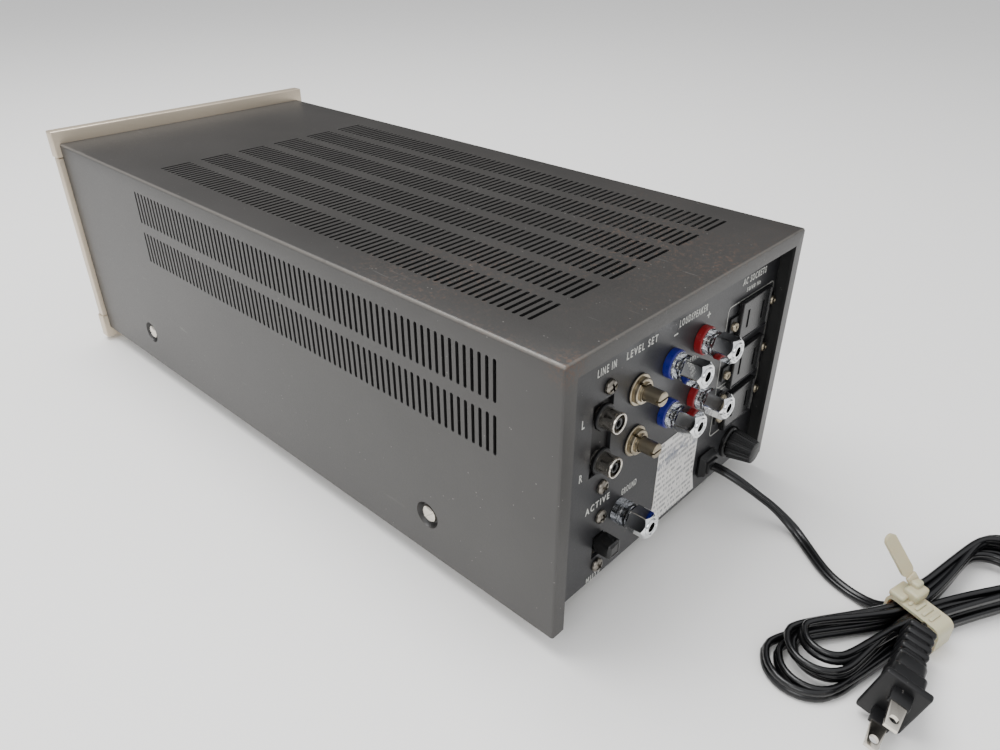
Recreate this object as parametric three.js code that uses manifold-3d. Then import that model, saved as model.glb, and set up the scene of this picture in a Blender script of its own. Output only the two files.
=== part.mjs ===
// A compact stereo power amplifier: a folded steel cover over a chassis pan, a framed front,
// a recessed rear panel with its connectors, the main parts inside, and a tied-up mains lead.
// Millimetres. +Z is up, the front looks along -Y, and the feet stand on z = 0.
import * as THREE from 'three';
import { mergeGeometries, mergeVertices } from 'three/addons/utils/BufferGeometryUtils.js';
import Module from 'manifold-3d';

const wasm = await Module();
wasm.setup();

// ---- driving dimensions ----
const coverWidth = 162;
const coverHeight = 117;
const coverDepth = 372;
const sheet = 1.2; // thickness of the folded steel
const gap = 0.3; // clearance kept between two touching pieces
const footHeight = 9.5;
const panelRecess = 8; // how far the rear panel sits inside the cover
const postProud = 8.7; // how far the speaker posts stand out behind the cover
const bezelDepth = 7;
const buttonProud = 5;

// ---- places worked out from them ----
const overallDepth = buttonProud + bezelDepth + coverDepth + postProud;
const rearEdge = overallDepth / 2 - postProud;
const frontEdge = rearEdge - coverDepth;
const coverBottom = footHeight;
const coverTop = coverBottom + coverHeight;
const halfWidth = coverWidth / 2;
const panelFace = rearEdge - panelRecess;
const panelSheet = 1.5;
const panelBack = panelFace - panelSheet;

// ---- solids ----
function solidOf(geometry) {
  const bare = geometry.clone();
  bare.deleteAttribute('normal');
  bare.deleteAttribute('uv');
  const merged = mergeVertices(bare, 1e-4);
  return new wasm.Manifold(new wasm.Mesh({
    numProp: 3,
    vertProperties: new Float32Array(merged.attributes.position.array),
    triVerts: new Uint32Array(merged.index.array),
  }));
}

function geometryOf(solid) {
  const { vertProperties, triVerts } = solid.getMesh();
  const geometry = new THREE.BufferGeometry();
  geometry.setAttribute('position', new THREE.BufferAttribute(new Float32Array(vertProperties), 3));
  geometry.setIndex(new THREE.BufferAttribute(new Uint32Array(triVerts), 1));
  return geometry;
}

function join(...pieces) {
  return geometryOf(pieces.map(solidOf).reduce((whole, piece) => whole.add(piece)));
}

function cut(body, ...tools) {
  return geometryOf(tools.map(solidOf).reduce((left, tool) => left.subtract(tool), solidOf(body)));
}

// A block given by its limits along each axis.
function block([x0, x1], [y0, y1], [z0, z1]) {
  return new THREE.BoxGeometry(x1 - x0, y1 - y0, z1 - z0)
    .translate((x0 + x1) / 2, (y0 + y1) / 2, (z0 + z1) / 2);
}

// Limits centred on a value.
function about(middle, size) {
  return [middle - size / 2, middle + size / 2];
}

// A flat outline drawn in x and z, made solid between two values of y.
function profileAlongY(outline, y0, y1) {
  return new THREE.ExtrudeGeometry(outline, { depth: y1 - y0, bevelEnabled: false, curveSegments: 3 })
    .rotateX(Math.PI / 2)
    .translate(0, y1, 0);
}

// A flat outline drawn in x and y, made solid between two heights.
function profileAlongZ(outline, z0, z1) {
  return new THREE.ExtrudeGeometry(outline, { depth: z1 - z0, bevelEnabled: false, curveSegments: 8 })
    .translate(0, 0, z0);
}

// A turned piece on an axis along y. Its profile is a list of [radius, y], rear end last.
function turned(profile, sides = 16) {
  return new THREE.LatheGeometry(profile.map(([r, y]) => new THREE.Vector2(r, y)), sides);
}

function rodAlongY(radius, y0, y1, sides = 16) {
  return turned([[0, y0], [radius, y0], [radius, y1], [0, y1]], sides);
}

function roundedOutline(width, height, radius) {
  const outline = new THREE.Shape();
  const [x, y] = [width / 2 - radius, height / 2 - radius];
  outline.absarc(x, y, radius, 0, Math.PI / 2);
  outline.absarc(-x, y, radius, Math.PI / 2, Math.PI);
  outline.absarc(-x, -y, radius, Math.PI, Math.PI * 1.5);
  outline.absarc(x, -y, radius, Math.PI * 1.5, Math.PI * 2);
  return outline;
}

// ---- finishes ----
function finish(color, roughness, metalness) {
  return { color, roughness, metalness };
}

const paint = finish(0x45413d, 0.55, 0.3);
const panelPaint = finish(0x2f2f31, 0.5, 0.2);
const zincSteel = finish(0xa09d94, 0.45, 0.9);
const champagne = finish(0xc9bda0, 0.35, 0.8);
const blackPlastic = finish(0x121212, 0.45, 0);
const nickel = finish(0xd8d4c8, 0.25, 1);
const brass = finish(0x9c8f70, 0.4, 0.9);
const rubber = finish(0x161616, 0.8, 0);
const phenolic = finish(0x3a2a1c, 0.6, 0);
const redPlastic = finish(0xc02020, 0.35, 0);
const bluePlastic = finish(0x2030b0, 0.35, 0);
const clearPlastic = finish(0xd0d6d6, 0.15, 0);
const labelFoil = finish(0xd9d6cf, 0.5, 0.3);
const tiePlastic = finish(0xd8cfae, 0.5, 0);
const cordPvc = finish(0x141414, 0.3, 0);
const boardGreen = finish(0x8a7a4a, 0.6, 0);
const canBlue = finish(0x27374f, 0.4, 0.1);
const darkGlass = finish(0xc24a18, 0.2, 0);

const amplifier = new THREE.Group();

function add(name, geometry, { color, roughness, metalness }, parent = amplifier) {
  const mesh = new THREE.Mesh(geometry, new THREE.MeshStandardMaterial({ color, roughness, metalness }));
  mesh.name = name;
  parent.add(mesh);
  return mesh;
}

// ---- cover ----
const bendRadius = 2;
const flangeWidth = 6.5; // the lip that the cover turns in round the rear panel
const screwRows = [
  { place: 'front', y: rearEdge - 306, z: coverTop - 97.7 },
  { place: 'rear', y: rearEdge - 67.4, z: coverTop - 96.5 },
];
const dimpleRadius = 6.2;
const dimpleDepth = 2.4;
const screwHole = 2.4;

// An upside-down U of the given wall, as wide and high as the cover.
function coverOutline(wall) {
  const outline = new THREE.Shape();
  const [side, top] = [halfWidth, coverTop];
  const inner = Math.max(bendRadius - wall, 0.6);
  outline.moveTo(side, coverBottom);
  outline.lineTo(side, top - bendRadius);
  outline.absarc(side - bendRadius, top - bendRadius, bendRadius, 0, Math.PI / 2);
  outline.absarc(-side + bendRadius, top - bendRadius, bendRadius, Math.PI / 2, Math.PI);
  outline.lineTo(-side, coverBottom);
  outline.lineTo(-side + wall, coverBottom);
  outline.absarc(-side + wall + inner, top - wall - inner, inner, Math.PI, Math.PI / 2, true);
  outline.absarc(side - wall - inner, top - wall - inner, inner, Math.PI / 2, 0, true);
  outline.lineTo(side - wall, coverBottom);
  return outline;
}

// Vents: long rows of narrow windows. The solid carries every eighth of them.
const ventPitch = 3.507;
const ventWidth = 1.6;
const ventStep = 8;
const ventCount = 73;
const ventRear = rearEdge - 30;
const sideVentRows = [[-25.2, -8.2], [-46.9, -30.2]];
const topVentRowPitch = 22.6;
const topVentLength = 16.6;

function ventCutters() {
  const cutters = [];
  for (let slot = 0; slot < ventCount; slot += ventStep) {
    const along = about(ventRear - slot * ventPitch, ventWidth);
    for (const [low, high] of sideVentRows) {
      cutters.push(block([-halfWidth - 2, halfWidth + 2], along, [coverTop + low, coverTop + high]));
    }
    for (let row = 0; row < 6; row += 1) {
      const across = about((2.5 - row) * topVentRowPitch, topVentLength);
      cutters.push(block(across, along, [coverTop - 4, coverTop + 2]));
    }
  }
  return mergeGeometries(cutters);
}

// The dished seat pressed into the cover's side for one screw, drawn about the y axis.
function dimple() {
  return turned([
    [screwHole, -dimpleDepth - sheet], [dimpleRadius - 1.6, -dimpleDepth - sheet],
    [dimpleRadius + sheet / 2, -0.2], [dimpleRadius, 0], [dimpleRadius - 2, -dimpleDepth],
    [screwHole, -dimpleDepth], [screwHole, -dimpleDepth - sheet],
  ], 16);
}

// Turns a piece drawn along y to point out of one side of the cover, with its seat at y and z.
function ontoSide(geometry, side, y, z) {
  return geometry.rotateZ(-side * Math.PI / 2).translate(side * halfWidth, y, z);
}

function buildCover() {
  let cover = join(
    profileAlongY(coverOutline(sheet), frontEdge + gap, rearEdge),
    profileAlongY(coverOutline(flangeWidth), rearEdge - sheet, rearEdge),
  );
  cover = cut(cover, ventCutters());
  for (const { y, z } of screwRows) {
    for (const side of [-1, 1]) {
      cover = cut(cover, ontoSide(rodAlongY(dimpleRadius, -4, 2), side, y, z));
      cover = join(cover, ontoSide(dimple(), side, y, z));
    }
  }
  add('cover', cover, paint);
}

// A slotted round-head screw, drawn along y with the underside of its head at y = 0.
function slottedScrew(headRadius, headHeight, shankRadius, shankLength) {
  const screw = turned([
    [0, -shankLength], [shankRadius, -shankLength], [shankRadius, 0], [headRadius, 0],
    [headRadius, headHeight * 0.4], [headRadius * 0.6, headHeight], [0, headHeight],
  ], 14);
  return cut(screw, block(about(0, headRadius * 3), [headHeight * 0.45, headHeight + 1], about(0, 0.9)));
}

function buildCoverScrews() {
  for (const { place, y, z } of screwRows) {
    for (const [name, side] of [['left', -1], ['right', 1]]) {
      const screw = slottedScrew(4, 2, 1.9, 7).translate(0, -dimpleDepth + gap, 0);
      add(`cover_screw_${place}_${name}`, ontoSide(screw, side, y, z), nickel);
    }
  }
}

// ---- chassis ----
const chassisHalf = halfWidth - dimpleDepth - sheet - 0.5;
const chassisFloor = coverBottom + panelSheet;
const chassisWall = 38; // top of the pan's upturned sides
const subpanelBack = frontEdge + gap + panelSheet;

function buildChassis() {
  const ends = [subpanelBack + gap, panelBack - gap];
  const wall = [coverBottom, chassisWall];
  let pan = join(
    block([-chassisHalf, chassisHalf], ends, [coverBottom, chassisFloor]),
    block([-chassisHalf, -chassisHalf + sheet], ends, wall),
    block([chassisHalf - sheet, chassisHalf], ends, wall),
  );
  for (const { y, z } of screwRows) {
    pan = cut(pan, ontoSide(rodAlongY(screwHole, -9, 0, 10), 1, y, z));
    pan = cut(pan, ontoSide(rodAlongY(screwHole, -9, 0, 10), -1, y, z));
  }
  add('chassis_pan', pan, zincSteel);
}

function buildFeet() {
  for (const [end, y] of [['front', frontEdge + 42], ['rear', rearEdge - 48]]) {
    for (const [side, x] of [['left', -60], ['right', 60]]) {
      const foot = turned([[0, 0], [7, 0], [8, 1.2], [9, footHeight - gap], [0, footHeight - gap]], 16);
      add(`foot_${end}_${side}`, foot.rotateX(Math.PI / 2).translate(x, y, 0), rubber);
    }
  }
}

// ---- front ----
const bezelOver = 3.2; // how far the bezel stands proud of the cover's sides
const bezelRise = 7; // and of its top and bottom
const barHeight = 15;
const railStep = 0.6; // the side rails sit back from the ends of the bars
const railWidth = 9;
const bezelBack = frontEdge;
const bezelFront = frontEdge - bezelDepth;
const bezelHalf = halfWidth + bezelOver;
const bezelTop = coverTop + bezelRise;
const bezelBottom = coverBottom - bezelRise;
const windowHalf = bezelHalf - railStep - railWidth;
const windowLimits = [bezelBottom + barHeight, bezelTop - barHeight];
const button = { x: -38, z: bezelBottom + barHeight + 16, radius: 6, travel: 3 };
const lamp = { x: 38, z: button.z, radius: 3.5 };

function buildFront() {
  const bar = (low, high) => profileAlongY(roundedOutline(bezelHalf * 2, high - low, 1.5), bezelFront, bezelBack)
    .translate(0, 0, (low + high) / 2);
  const rail = (side) => block(
    side < 0 ? [-bezelHalf + railStep, -windowHalf] : [windowHalf, bezelHalf - railStep],
    [bezelFront + 1, bezelBack],
    [windowLimits[0] - 2, windowLimits[1] + 2],
  );
  const bezel = join(bar(bezelBottom, windowLimits[0]), bar(windowLimits[1], bezelTop), rail(-1), rail(1));
  add('front_bezel', bezel, champagne);

  const holes = [
    rodAlongY(button.radius + 0.4, bezelFront, subpanelBack + 1).translate(button.x, 0, button.z),
    rodAlongY(lamp.radius + 0.4, bezelFront, subpanelBack + 1, 12).translate(lamp.x, 0, lamp.z),
  ];
  const face = block(
    [-windowHalf + gap, windowHalf - gap],
    [bezelFront + 2.5, bezelBack - 0.5],
    [windowLimits[0] + gap, windowLimits[1] - gap],
  );
  add('front_panel', cut(face, ...holes), panelPaint);
  const subpanel = block(
    [-chassisHalf, chassisHalf],
    [frontEdge + gap, subpanelBack],
    [coverBottom, coverTop - sheet - gap * 2],
  );
  add('front_subpanel', cut(subpanel, ...holes), zincSteel);

  const switchFace = subpanelBack + 5;
  const buttonBack = switchFace - button.travel - 0.6;
  const cap = turned([
    [0, bezelFront - buttonProud], [button.radius - 1, bezelFront - buttonProud],
    [button.radius, bezelFront - buttonProud + 1], [button.radius, buttonBack], [0, buttonBack],
  ]);
  add('power_button', cap.translate(button.x, 0, button.z), champagne);
  const body = block(about(button.x, 22), [switchFace, switchFace + 20], [chassisFloor + gap, button.z + 12]);
  add('power_switch', body, blackPlastic);
  const lens = turned([
    [0, bezelFront - 1], [lamp.radius * 0.7, bezelFront - 0.6], [lamp.radius, bezelFront + 0.6],
    [lamp.radius, subpanelBack + 6], [0, subpanelBack + 6],
  ], 14);
  add('pilot_lens', lens.translate(lamp.x, 0, lamp.z), darkGlass);
}

// ---- rear panel ----
const jackX = 47.8;
const jackHeights = { left: coverTop - 37, right: coverTop - 56.3 };
const inputScrew = { x: 45.4, heights: { top: coverTop - 25.6, bottom: coverTop - 69.8 } };
const potPlaces = { left: [26.2, coverTop - 35.5], right: [25.9, coverTop - 58.6] };
const earthPlace = [32.6, coverTop - 88.6];
const postPlaces = {
  left_minus: [5, coverTop - 33],
  left_plus: [-17, coverTop - 31.3],
  right_minus: [4.7, coverTop - 55.7],
  right_plus: [-17.7, coverTop - 57.7],
};
const outletX = -58.3;
const outletHeights = [coverTop - 34.3, coverTop - 58, coverTop - 80.5];
const fusePlace = [-58.2, coverTop - 102.8];
const bushingPlace = [-36, coverTop - 102.8];
const modeSwitch = { x: 44.8, screws: { top: coverTop - 84.6, bottom: coverTop - 109.7 }, travel: 5 };
const lever = { width: 8, height: 7, proud: 8.5, z: coverTop - 97 };
const screwShank = 1.5;
const postStud = 4;

// Puts a piece drawn with the panel's face at y = 0 at a place on the panel.
function onPanel(geometry, x, z) {
  return geometry.translate(x, panelFace, z);
}

function panelHole(radius, x, z, sides = 14) {
  return onPanel(rodAlongY(radius, -4, 2, sides), x, z);
}

function panelWindow(width, height, x, z) {
  return onPanel(block(about(0, width), [-4, 2], about(0, height)), x, z);
}

const slideWindow = { width: 6.8, height: lever.height + modeSwitch.travel - 0.6 };
slideWindow.z = lever.z - modeSwitch.travel / 2;
const jackWindow = { width: 12, height: 31.6, z: coverTop - 46.1 };

function buildRearPanel() {
  const plate = block(
    [-halfWidth + sheet + gap, halfWidth - sheet - gap],
    [panelBack, panelFace],
    [coverBottom + gap, coverTop - sheet - gap],
  );
  const cuts = [
    panelWindow(jackWindow.width, jackWindow.height, jackX, jackWindow.z),
    panelWindow(slideWindow.width, slideWindow.height, modeSwitch.x, slideWindow.z),
    panelWindow(11, 10, ...bushingPlace),
    panelHole(6.6, ...fusePlace),
    panelHole(postStud + 0.4, ...earthPlace),
    ...Object.values(postPlaces).map(([x, z]) => panelHole(postStud + 0.4, x, z)),
    ...Object.values(potPlaces).map(([x, z]) => panelHole(4.1, x, z)),
    ...outletHeights.map((z) => panelWindow(22.6, 15.6, outletX, z)),
    ...Object.values(inputScrew.heights).map((z) => panelHole(screwShank + 0.3, inputScrew.x, z, 8)),
    ...Object.values(modeSwitch.screws).map((z) => panelHole(screwShank + 0.3, modeSwitch.x, z, 8)),
  ];
  add('rear_panel', cut(plate, ...cuts), panelPaint);
}

// A small cross-head screw through the panel, with its head on the panel's face.
function panelScrew(length) {
  const screw = turned([
    [0, -length], [screwShank, -length], [screwShank, gap], [3, gap], [3, 1.2], [2, 2.1], [0, 2.1],
  ], 12);
  return cut(screw, block(about(0, 3), [1.2, 3], about(0, 0.7)), block(about(0, 0.7), [1.2, 3], about(0, 3)));
}

function buildInputs() {
  const plateFace = -panelSheet - gap;
  const plateLimits = [inputScrew.heights.bottom - 4, inputScrew.heights.top + 4];
  let plate = block(about(jackX - 1, 20), [panelBack - gap - 1.6, panelBack - gap], plateLimits);
  for (const z of Object.values(jackHeights)) {
    plate = cut(plate, panelHole(3.6, jackX, z));
  }
  for (const z of Object.values(inputScrew.heights)) {
    plate = cut(plate, panelHole(screwShank + 0.3, inputScrew.x, z, 8));
  }
  add('input_plate', plate, phenolic);
  for (const [name, z] of Object.entries(jackHeights)) {
    const jack = turned([
      [0, -14], [1.2, -14], [1.2, -8], [3.2, -8], [3.2, plateFace + gap], [5.4, plateFace + gap], [5.4, 1.5],
      [4.15, 1.5], [4.15, 7.5], [1.7, 7.5], [1.7, -2], [0, -2],
    ]);
    add(`input_jack_${name}`, onPanel(jack, jackX, z), nickel);
  }
  for (const [name, z] of Object.entries(inputScrew.heights)) {
    add(`input_screw_${name}`, onPanel(panelScrew(7), inputScrew.x, z), zincSteel);
  }
}

function buildModeSwitch() {
  const { x, screws } = modeSwitch;
  const ears = [screws.bottom - 3.5, screws.top + 3.5];
  const bodyFace = panelBack - gap;
  let body = join(
    block(about(x, 12), [bodyFace - 1, bodyFace], ears),
    block(about(x, 12), [bodyFace - 9, bodyFace - 0.5], [screws.bottom + 3.5, screws.top - 3.5]),
  );
  const groove = [slideWindow.z - slideWindow.height / 2, slideWindow.z + slideWindow.height / 2];
  body = cut(body, block(about(x, slideWindow.width), [bodyFace - 5, bodyFace + 1], groove));
  for (const z of Object.values(screws)) {
    body = cut(body, panelHole(screwShank + 0.3, x, z, 8));
  }
  add('mode_switch_body', body, zincSteel);
  for (const [name, z] of Object.entries(screws)) {
    add(`mode_screw_${name}`, onPanel(panelScrew(5), x, z), zincSteel);
  }
  const knob = profileAlongY(roundedOutline(lever.width, lever.height, 0.8), 0.4, lever.proud);
  const stem = block(about(0, 6), [-5.5, 1], about(0, lever.height - 1.4));
  add('mode_lever', onPanel(join(knob, stem), x, lever.z), blackPlastic);
}

function buildLevelControls() {
  for (const [name, [x, z]] of Object.entries(potPlaces)) {
    const pot = turned([
      [0, -14], [8, -14], [8, -panelSheet - gap], [3.8, -panelSheet - gap], [3.8, gap], [6.5, gap], [6.5, 1.1],
      [5.3, 1.1], [5.3, 3], [3.8, 3], [3.8, 4], [3.3, 4], [3.3, -3], [0, -3],
    ]);
    add(`level_pot_${name}`, onPanel(pot, x, z), brass);
    const shaft = cut(
      rodAlongY(3, -2.5, 11.1, 18),
      block(about(0, 8), [9.4, 12], about(0, 0.9)),
    );
    add(`level_shaft_${name}`, onPanel(shaft, x, z), brass);
  }
}

const capStart = 5.9;
const capEnd = panelRecess + postProud;

function postBase() {
  return turned([
    [0, -12], [1.8, -12], [1.8, -6], [postStud, -6], [postStud, gap], [6.2, gap], [6.2, 3.3], [5.2, 3.6],
    [5.2, capStart - gap], [1.8, capStart - gap], [1.8, 10], [0, 10],
  ]);
}

function postCap() {
  const hexagon = turned([[0, capStart], [5.75, capStart], [5.75, capEnd], [0, capEnd]], 6);
  return cut(hexagon, rodAlongY(2.1, capStart - 1, capEnd + 1, 12));
}

function buildPosts() {
  const posts = { ...postPlaces, earth: earthPlace };
  for (const [name, [x, z]] of Object.entries(posts)) {
    const colour = name === 'earth' ? clearPlastic : name.endsWith('plus') ? redPlastic : bluePlastic;
    add(`post_base_${name}`, onPanel(postBase(), x, z), colour);
    add(`post_cap_${name}`, onPanel(postCap(), x, z), nickel);
  }
}

function buildOutlets() {
  const slotSpacing = 12.7;
  outletHeights.forEach((z, index) => {
    const body = join(
      block(about(0, 25.5), [gap, 2.8], about(0, 18.5)),
      block(about(0, 22), [-18, 1], about(0, 15)),
    );
    const slot = (x) => block(about(x, 1.8), [-9, 4], about(0, 8.5));
    const outlet = cut(body, slot(-slotSpacing / 2), slot(slotSpacing / 2));
    add(`mains_outlet_${index + 1}`, onPanel(outlet, outletX, z), blackPlastic);
  });
}

function buildFuse() {
  const holder = turned([
    [0, -32], [6.2, -32], [6.2, gap], [8, gap], [8, 2.5], [3.4, 2.5], [3.4, -6], [0, -6],
  ]);
  add('fuse_holder', onPanel(holder, ...fusePlace), blackPlastic);
  const cap = turned([
    [0, -5.5], [3, -5.5], [3, 2.9], [7.4, 2.9], [7.2, 4.5], [5.7, 14.4], [0, 14.4],
  ], 24);
  add('fuse_cap', onPanel(cap, ...fusePlace), blackPlastic);
}

function buildLabel() {
  const [left, right, top] = [5.3, -26.5, coverTop - 72.3];
  const [stripOver, stripTop, foot] = [3, coverTop - 106.5, coverTop - 114.5];
  const outline = new THREE.Shape();
  outline.moveTo(left, top);
  outline.lineTo(right, top);
  outline.lineTo(right, stripTop + stripOver);
  outline.lineTo(right - stripOver, stripTop);
  outline.lineTo(right - stripOver, foot);
  outline.lineTo(left + stripOver, foot);
  outline.lineTo(left + stripOver, stripTop);
  outline.lineTo(left, stripTop + stripOver);
  outline.closePath();
  add('rating_label', profileAlongY(outline, panelFace + gap, panelFace + gap + 0.3), labelFoil);
}

// ---- inside ----
function buildInside() {
  const floor = chassisFloor + gap;
  const transformerY = frontEdge + 85;
  const core = block(about(0, 84), about(transformerY, 44), [floor, floor + 70]);
  const bells = block(about(0, 60), about(transformerY, 84), [floor + 9, floor + 61]);
  add('power_transformer', join(core, bells), finish(0x2b2b2d, 0.5, 0.4));

  for (const [name, x] of [['left', -22], ['right', 22]]) {
    const can = turned([[0, 0], [17.5, 0], [17.5, 72], [16, 74], [0, 74]], 24);
    add(`filter_capacitor_${name}`, can.rotateX(Math.PI / 2).translate(x, frontEdge + 160, floor), canBlue);
  }

  const sinkStart = frontEdge + 195;
  const sinkLength = 110;
  const fins = [];
  for (let fin = 0; fin < 9; fin += 1) {
    fins.push(block(about((fin - 4) * 8, 1.6), [sinkStart, sinkStart + sinkLength], [floor + 30, floor + 62]));
  }
  const base = block(about(0, 66), [sinkStart, sinkStart + sinkLength], [floor + 26, floor + 31]);
  const legs = [-30, 30].map((x) => block(about(x, 4), [sinkStart, sinkStart + sinkLength], [floor, floor + 27]));
  add('heat_sink', join(base, ...fins, ...legs), finish(0x1c1c1e, 0.4, 0.7));

  for (const [name, side] of [['left', -1], ['right', 1]]) {
    const board = block(about(side * 54, 34), [sinkStart, sinkStart + 100], [floor + 6, floor + 7.6]);
    const parts = [0, 1, 2, 3].map((part) => (
      block(about(side * 54 + (part % 2) * 10 - 5, 8), about(sinkStart + 15 + part * 23, 10), [floor + 7, floor + 22])
    ));
    const pillars = [8, 92].map((y) => block(about(side * 54, 6), about(sinkStart + y, 6), [floor, floor + 7]));
    add(`driver_board_${name}`, join(board, ...parts, ...pillars), boardGreen);
  }
}

// ---- mains lead ----
// Places here are [x, distance behind the cover, height].
const cordWidth = 5.2;
const cordThickness = 2.6;
const leadRoute = [
  [-36, -3.2, 23.7], [-36.1, 2, 23.6], [-36.6, 7.5, 22.4], [-38.2, 13.5, 19.6], [-41, 19.3, 15.3],
  [-43.9, 24.8, 10.9], [-45.5, 30.4, 6.6], [-45, 36.3, 3.4], [-42, 42.2, 1.7], [-37.8, 47.8, 1.5],
  [-33.6, 53.4, 1.5], [-30, 59.4, 1.5], [-27.6, 66, 1.5], [-26.8, 72.4, 1.5], [-27.4, 77.8, 2.2],
  [-28.5, 81.8, 3.2],
];

// A curve whose cross-section never rolls: its width stays level along the whole route.
class LevelCurve extends THREE.CatmullRomCurve3 {
  computeFrenetFrames(segments) {
    const up = new THREE.Vector3(0, 0, 1);
    const tangents = [];
    const normals = [];
    const binormals = [];
    for (let step = 0; step <= segments; step += 1) {
      const tangent = this.getTangentAt(step / segments);
      const normal = new THREE.Vector3().crossVectors(up, tangent).normalize();
      tangents.push(tangent);
      normals.push(normal);
      binormals.push(new THREE.Vector3().crossVectors(tangent, normal));
    }
    return { tangents, normals, binormals };
  }
}

const tieCentre = [-27, rearEdge + 96];
const tieTurn = Math.atan2(0.24, -0.97); // the hank's long axis, seen from above
const tieWidth = 10;
const tieBand = 1.2;
const hankFloor = gap + tieBand + gap;
const hankHeight = 16;
const waist = [-9.3, 11.3]; // the hank's sides where the tie holds it

// The hank from above. x runs along it with the tie at 0, y across it.
function hankOutline() {
  const near = { x: -50, y: 11, radius: 15 };
  const far = { x: 58, y: 0, radius: 18 };
  const outline = new THREE.Shape();
  outline.moveTo(-6, waist[1]);
  outline.lineTo(near.x, near.y + near.radius);
  outline.absarc(near.x, near.y, near.radius, Math.PI / 2, Math.PI * 1.5);
  outline.lineTo(-6, -2);
  outline.lineTo(-6, waist[0]);
  outline.lineTo(6, waist[0]);
  outline.absarc(far.x, far.y, far.radius, -Math.PI / 2, Math.PI / 2);
  outline.lineTo(6, waist[1]);
  outline.closePath();
  return outline;
}

function buildCord() {
  const route = new LevelCurve(leadRoute.map(([x, y, z]) => new THREE.Vector3(x, rearEdge + y, z)));
  const section = new THREE.Shape();
  section.absellipse(0, 0, cordWidth / 2, cordThickness / 2, 0, Math.PI * 2);
  const lead = new THREE.ExtrudeGeometry(section, {
    steps: 16, curveSegments: 4, bevelEnabled: false, extrudePath: route,
  });
  add('mains_cord', lead, cordPvc);

  const bushing = join(
    block(about(0, 12), [gap, 4.5], about(0, 12)),
    block(about(0, 10), [-16, 1], about(0, 9)),
  );
  add('cord_bushing', onPanel(bushing, ...bushingPlace), blackPlastic);

  const bundle = new THREE.Group();
  bundle.position.set(...tieCentre, 0);
  bundle.rotation.z = tieTurn;
  amplifier.add(bundle);
  add('cord_hank', profileAlongZ(hankOutline(), hankFloor, hankFloor + hankHeight), cordPvc, bundle);

  const [low, high] = [waist[0] - gap, waist[1] + gap];
  const [floor, roof] = [hankFloor - gap, hankFloor + hankHeight + gap];
  const outer = block(about(0, tieWidth), [low - tieBand, high + tieBand], [floor - tieBand, roof + tieBand]);
  const inner = block(about(0, tieWidth + 2), [low, high], [floor, roof]);
  const tongue = block(about(0, 7), about(0, 1.6), [0, 22])
    .rotateX(-0.45)
    .rotateY(-0.4)
    .translate(1, 6, roof + 1.4);
  add('cord_tie', join(cut(outer, inner), tongue), tiePlastic, bundle);
}

// The plug, drawn along x with its blades at +x and its flange's face at x = 0.
function buildPlug() {
  const flange = block([-3, 0], about(0, 16), about(0, 22));
  const grip = block([-17, -2], about(0, 11), about(0, 15));
  const relief = block([-30, -16], about(0, 8), about(0, 7));
  const blade = (z) => block([-1, 17], about(0, 6.35), about(z, 1.5));
  const plug = new THREE.Group();
  plug.position.set(25.7, rearEdge + 103, 13);
  plug.rotation.set(-0.257, -0.04, 0.114, 'ZYX');
  amplifier.add(plug);
  add('mains_plug', join(flange, grip, relief, blade(-6.35), blade(6.35)), blackPlastic, plug);
}

buildCover();
buildCoverScrews();
buildChassis();
buildFeet();
buildFront();
buildRearPanel();
buildInputs();
buildModeSwitch();
buildLevelControls();
buildPosts();
buildOutlets();
buildFuse();
buildLabel();
buildInside();
buildCord();
buildPlug();

export default amplifier;
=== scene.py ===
# %% [markdown]
# # A compact stereo power amplifier
# The amplifier is a long steel box seen from behind: a folded cover full of narrow vents, a pale
# front frame, and a dark rear panel crowded with sockets, posts and legends. Its mains lead lies
# tied up behind it. The solid model gives every place and size, and this script gives the looks.

# %% Load the frame
import math

import bmesh
import bpy
from mathutils import Euler, Matrix, Vector


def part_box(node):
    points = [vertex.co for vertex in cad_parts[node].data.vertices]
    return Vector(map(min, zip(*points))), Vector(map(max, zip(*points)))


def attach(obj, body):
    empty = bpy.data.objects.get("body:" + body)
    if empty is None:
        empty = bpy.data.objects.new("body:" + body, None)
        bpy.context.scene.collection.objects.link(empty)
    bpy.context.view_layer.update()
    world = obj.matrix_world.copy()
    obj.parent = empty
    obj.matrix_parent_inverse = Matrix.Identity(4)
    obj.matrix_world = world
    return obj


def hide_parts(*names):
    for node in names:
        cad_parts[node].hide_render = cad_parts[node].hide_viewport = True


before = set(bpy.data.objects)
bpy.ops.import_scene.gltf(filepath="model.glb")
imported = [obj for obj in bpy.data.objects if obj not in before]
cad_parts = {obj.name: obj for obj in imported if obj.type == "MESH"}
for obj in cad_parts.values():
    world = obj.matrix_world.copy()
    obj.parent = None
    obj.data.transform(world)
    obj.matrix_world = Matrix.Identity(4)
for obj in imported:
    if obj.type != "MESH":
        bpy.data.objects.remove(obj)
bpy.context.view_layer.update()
mm = 0.001
MAIN = "amplifier"

cover_low, cover_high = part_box("cover")
rear = cover_high.y
front = cover_low.y
top = cover_high.z
bottom = cover_low.z
half = cover_high.x
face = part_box("rear_panel")[1].y
print("cover", [round(size / mm) for size in cover_high - cover_low], "mm")

# %% [markdown]
# ## Camera, floor and lamps
# The view is from behind and above, close enough for strong perspective, so the lens is a wide
# one. A pale floor runs past the view. One large lamp above the front makes soft shadows that
# fall towards the camera, and a second one fills the side.

# %% Camera
def shown(name, data):
    """A new object, linked to the scene."""
    thing = bpy.data.objects.new(name, data)
    bpy.context.scene.collection.objects.link(thing)
    return thing


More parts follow.
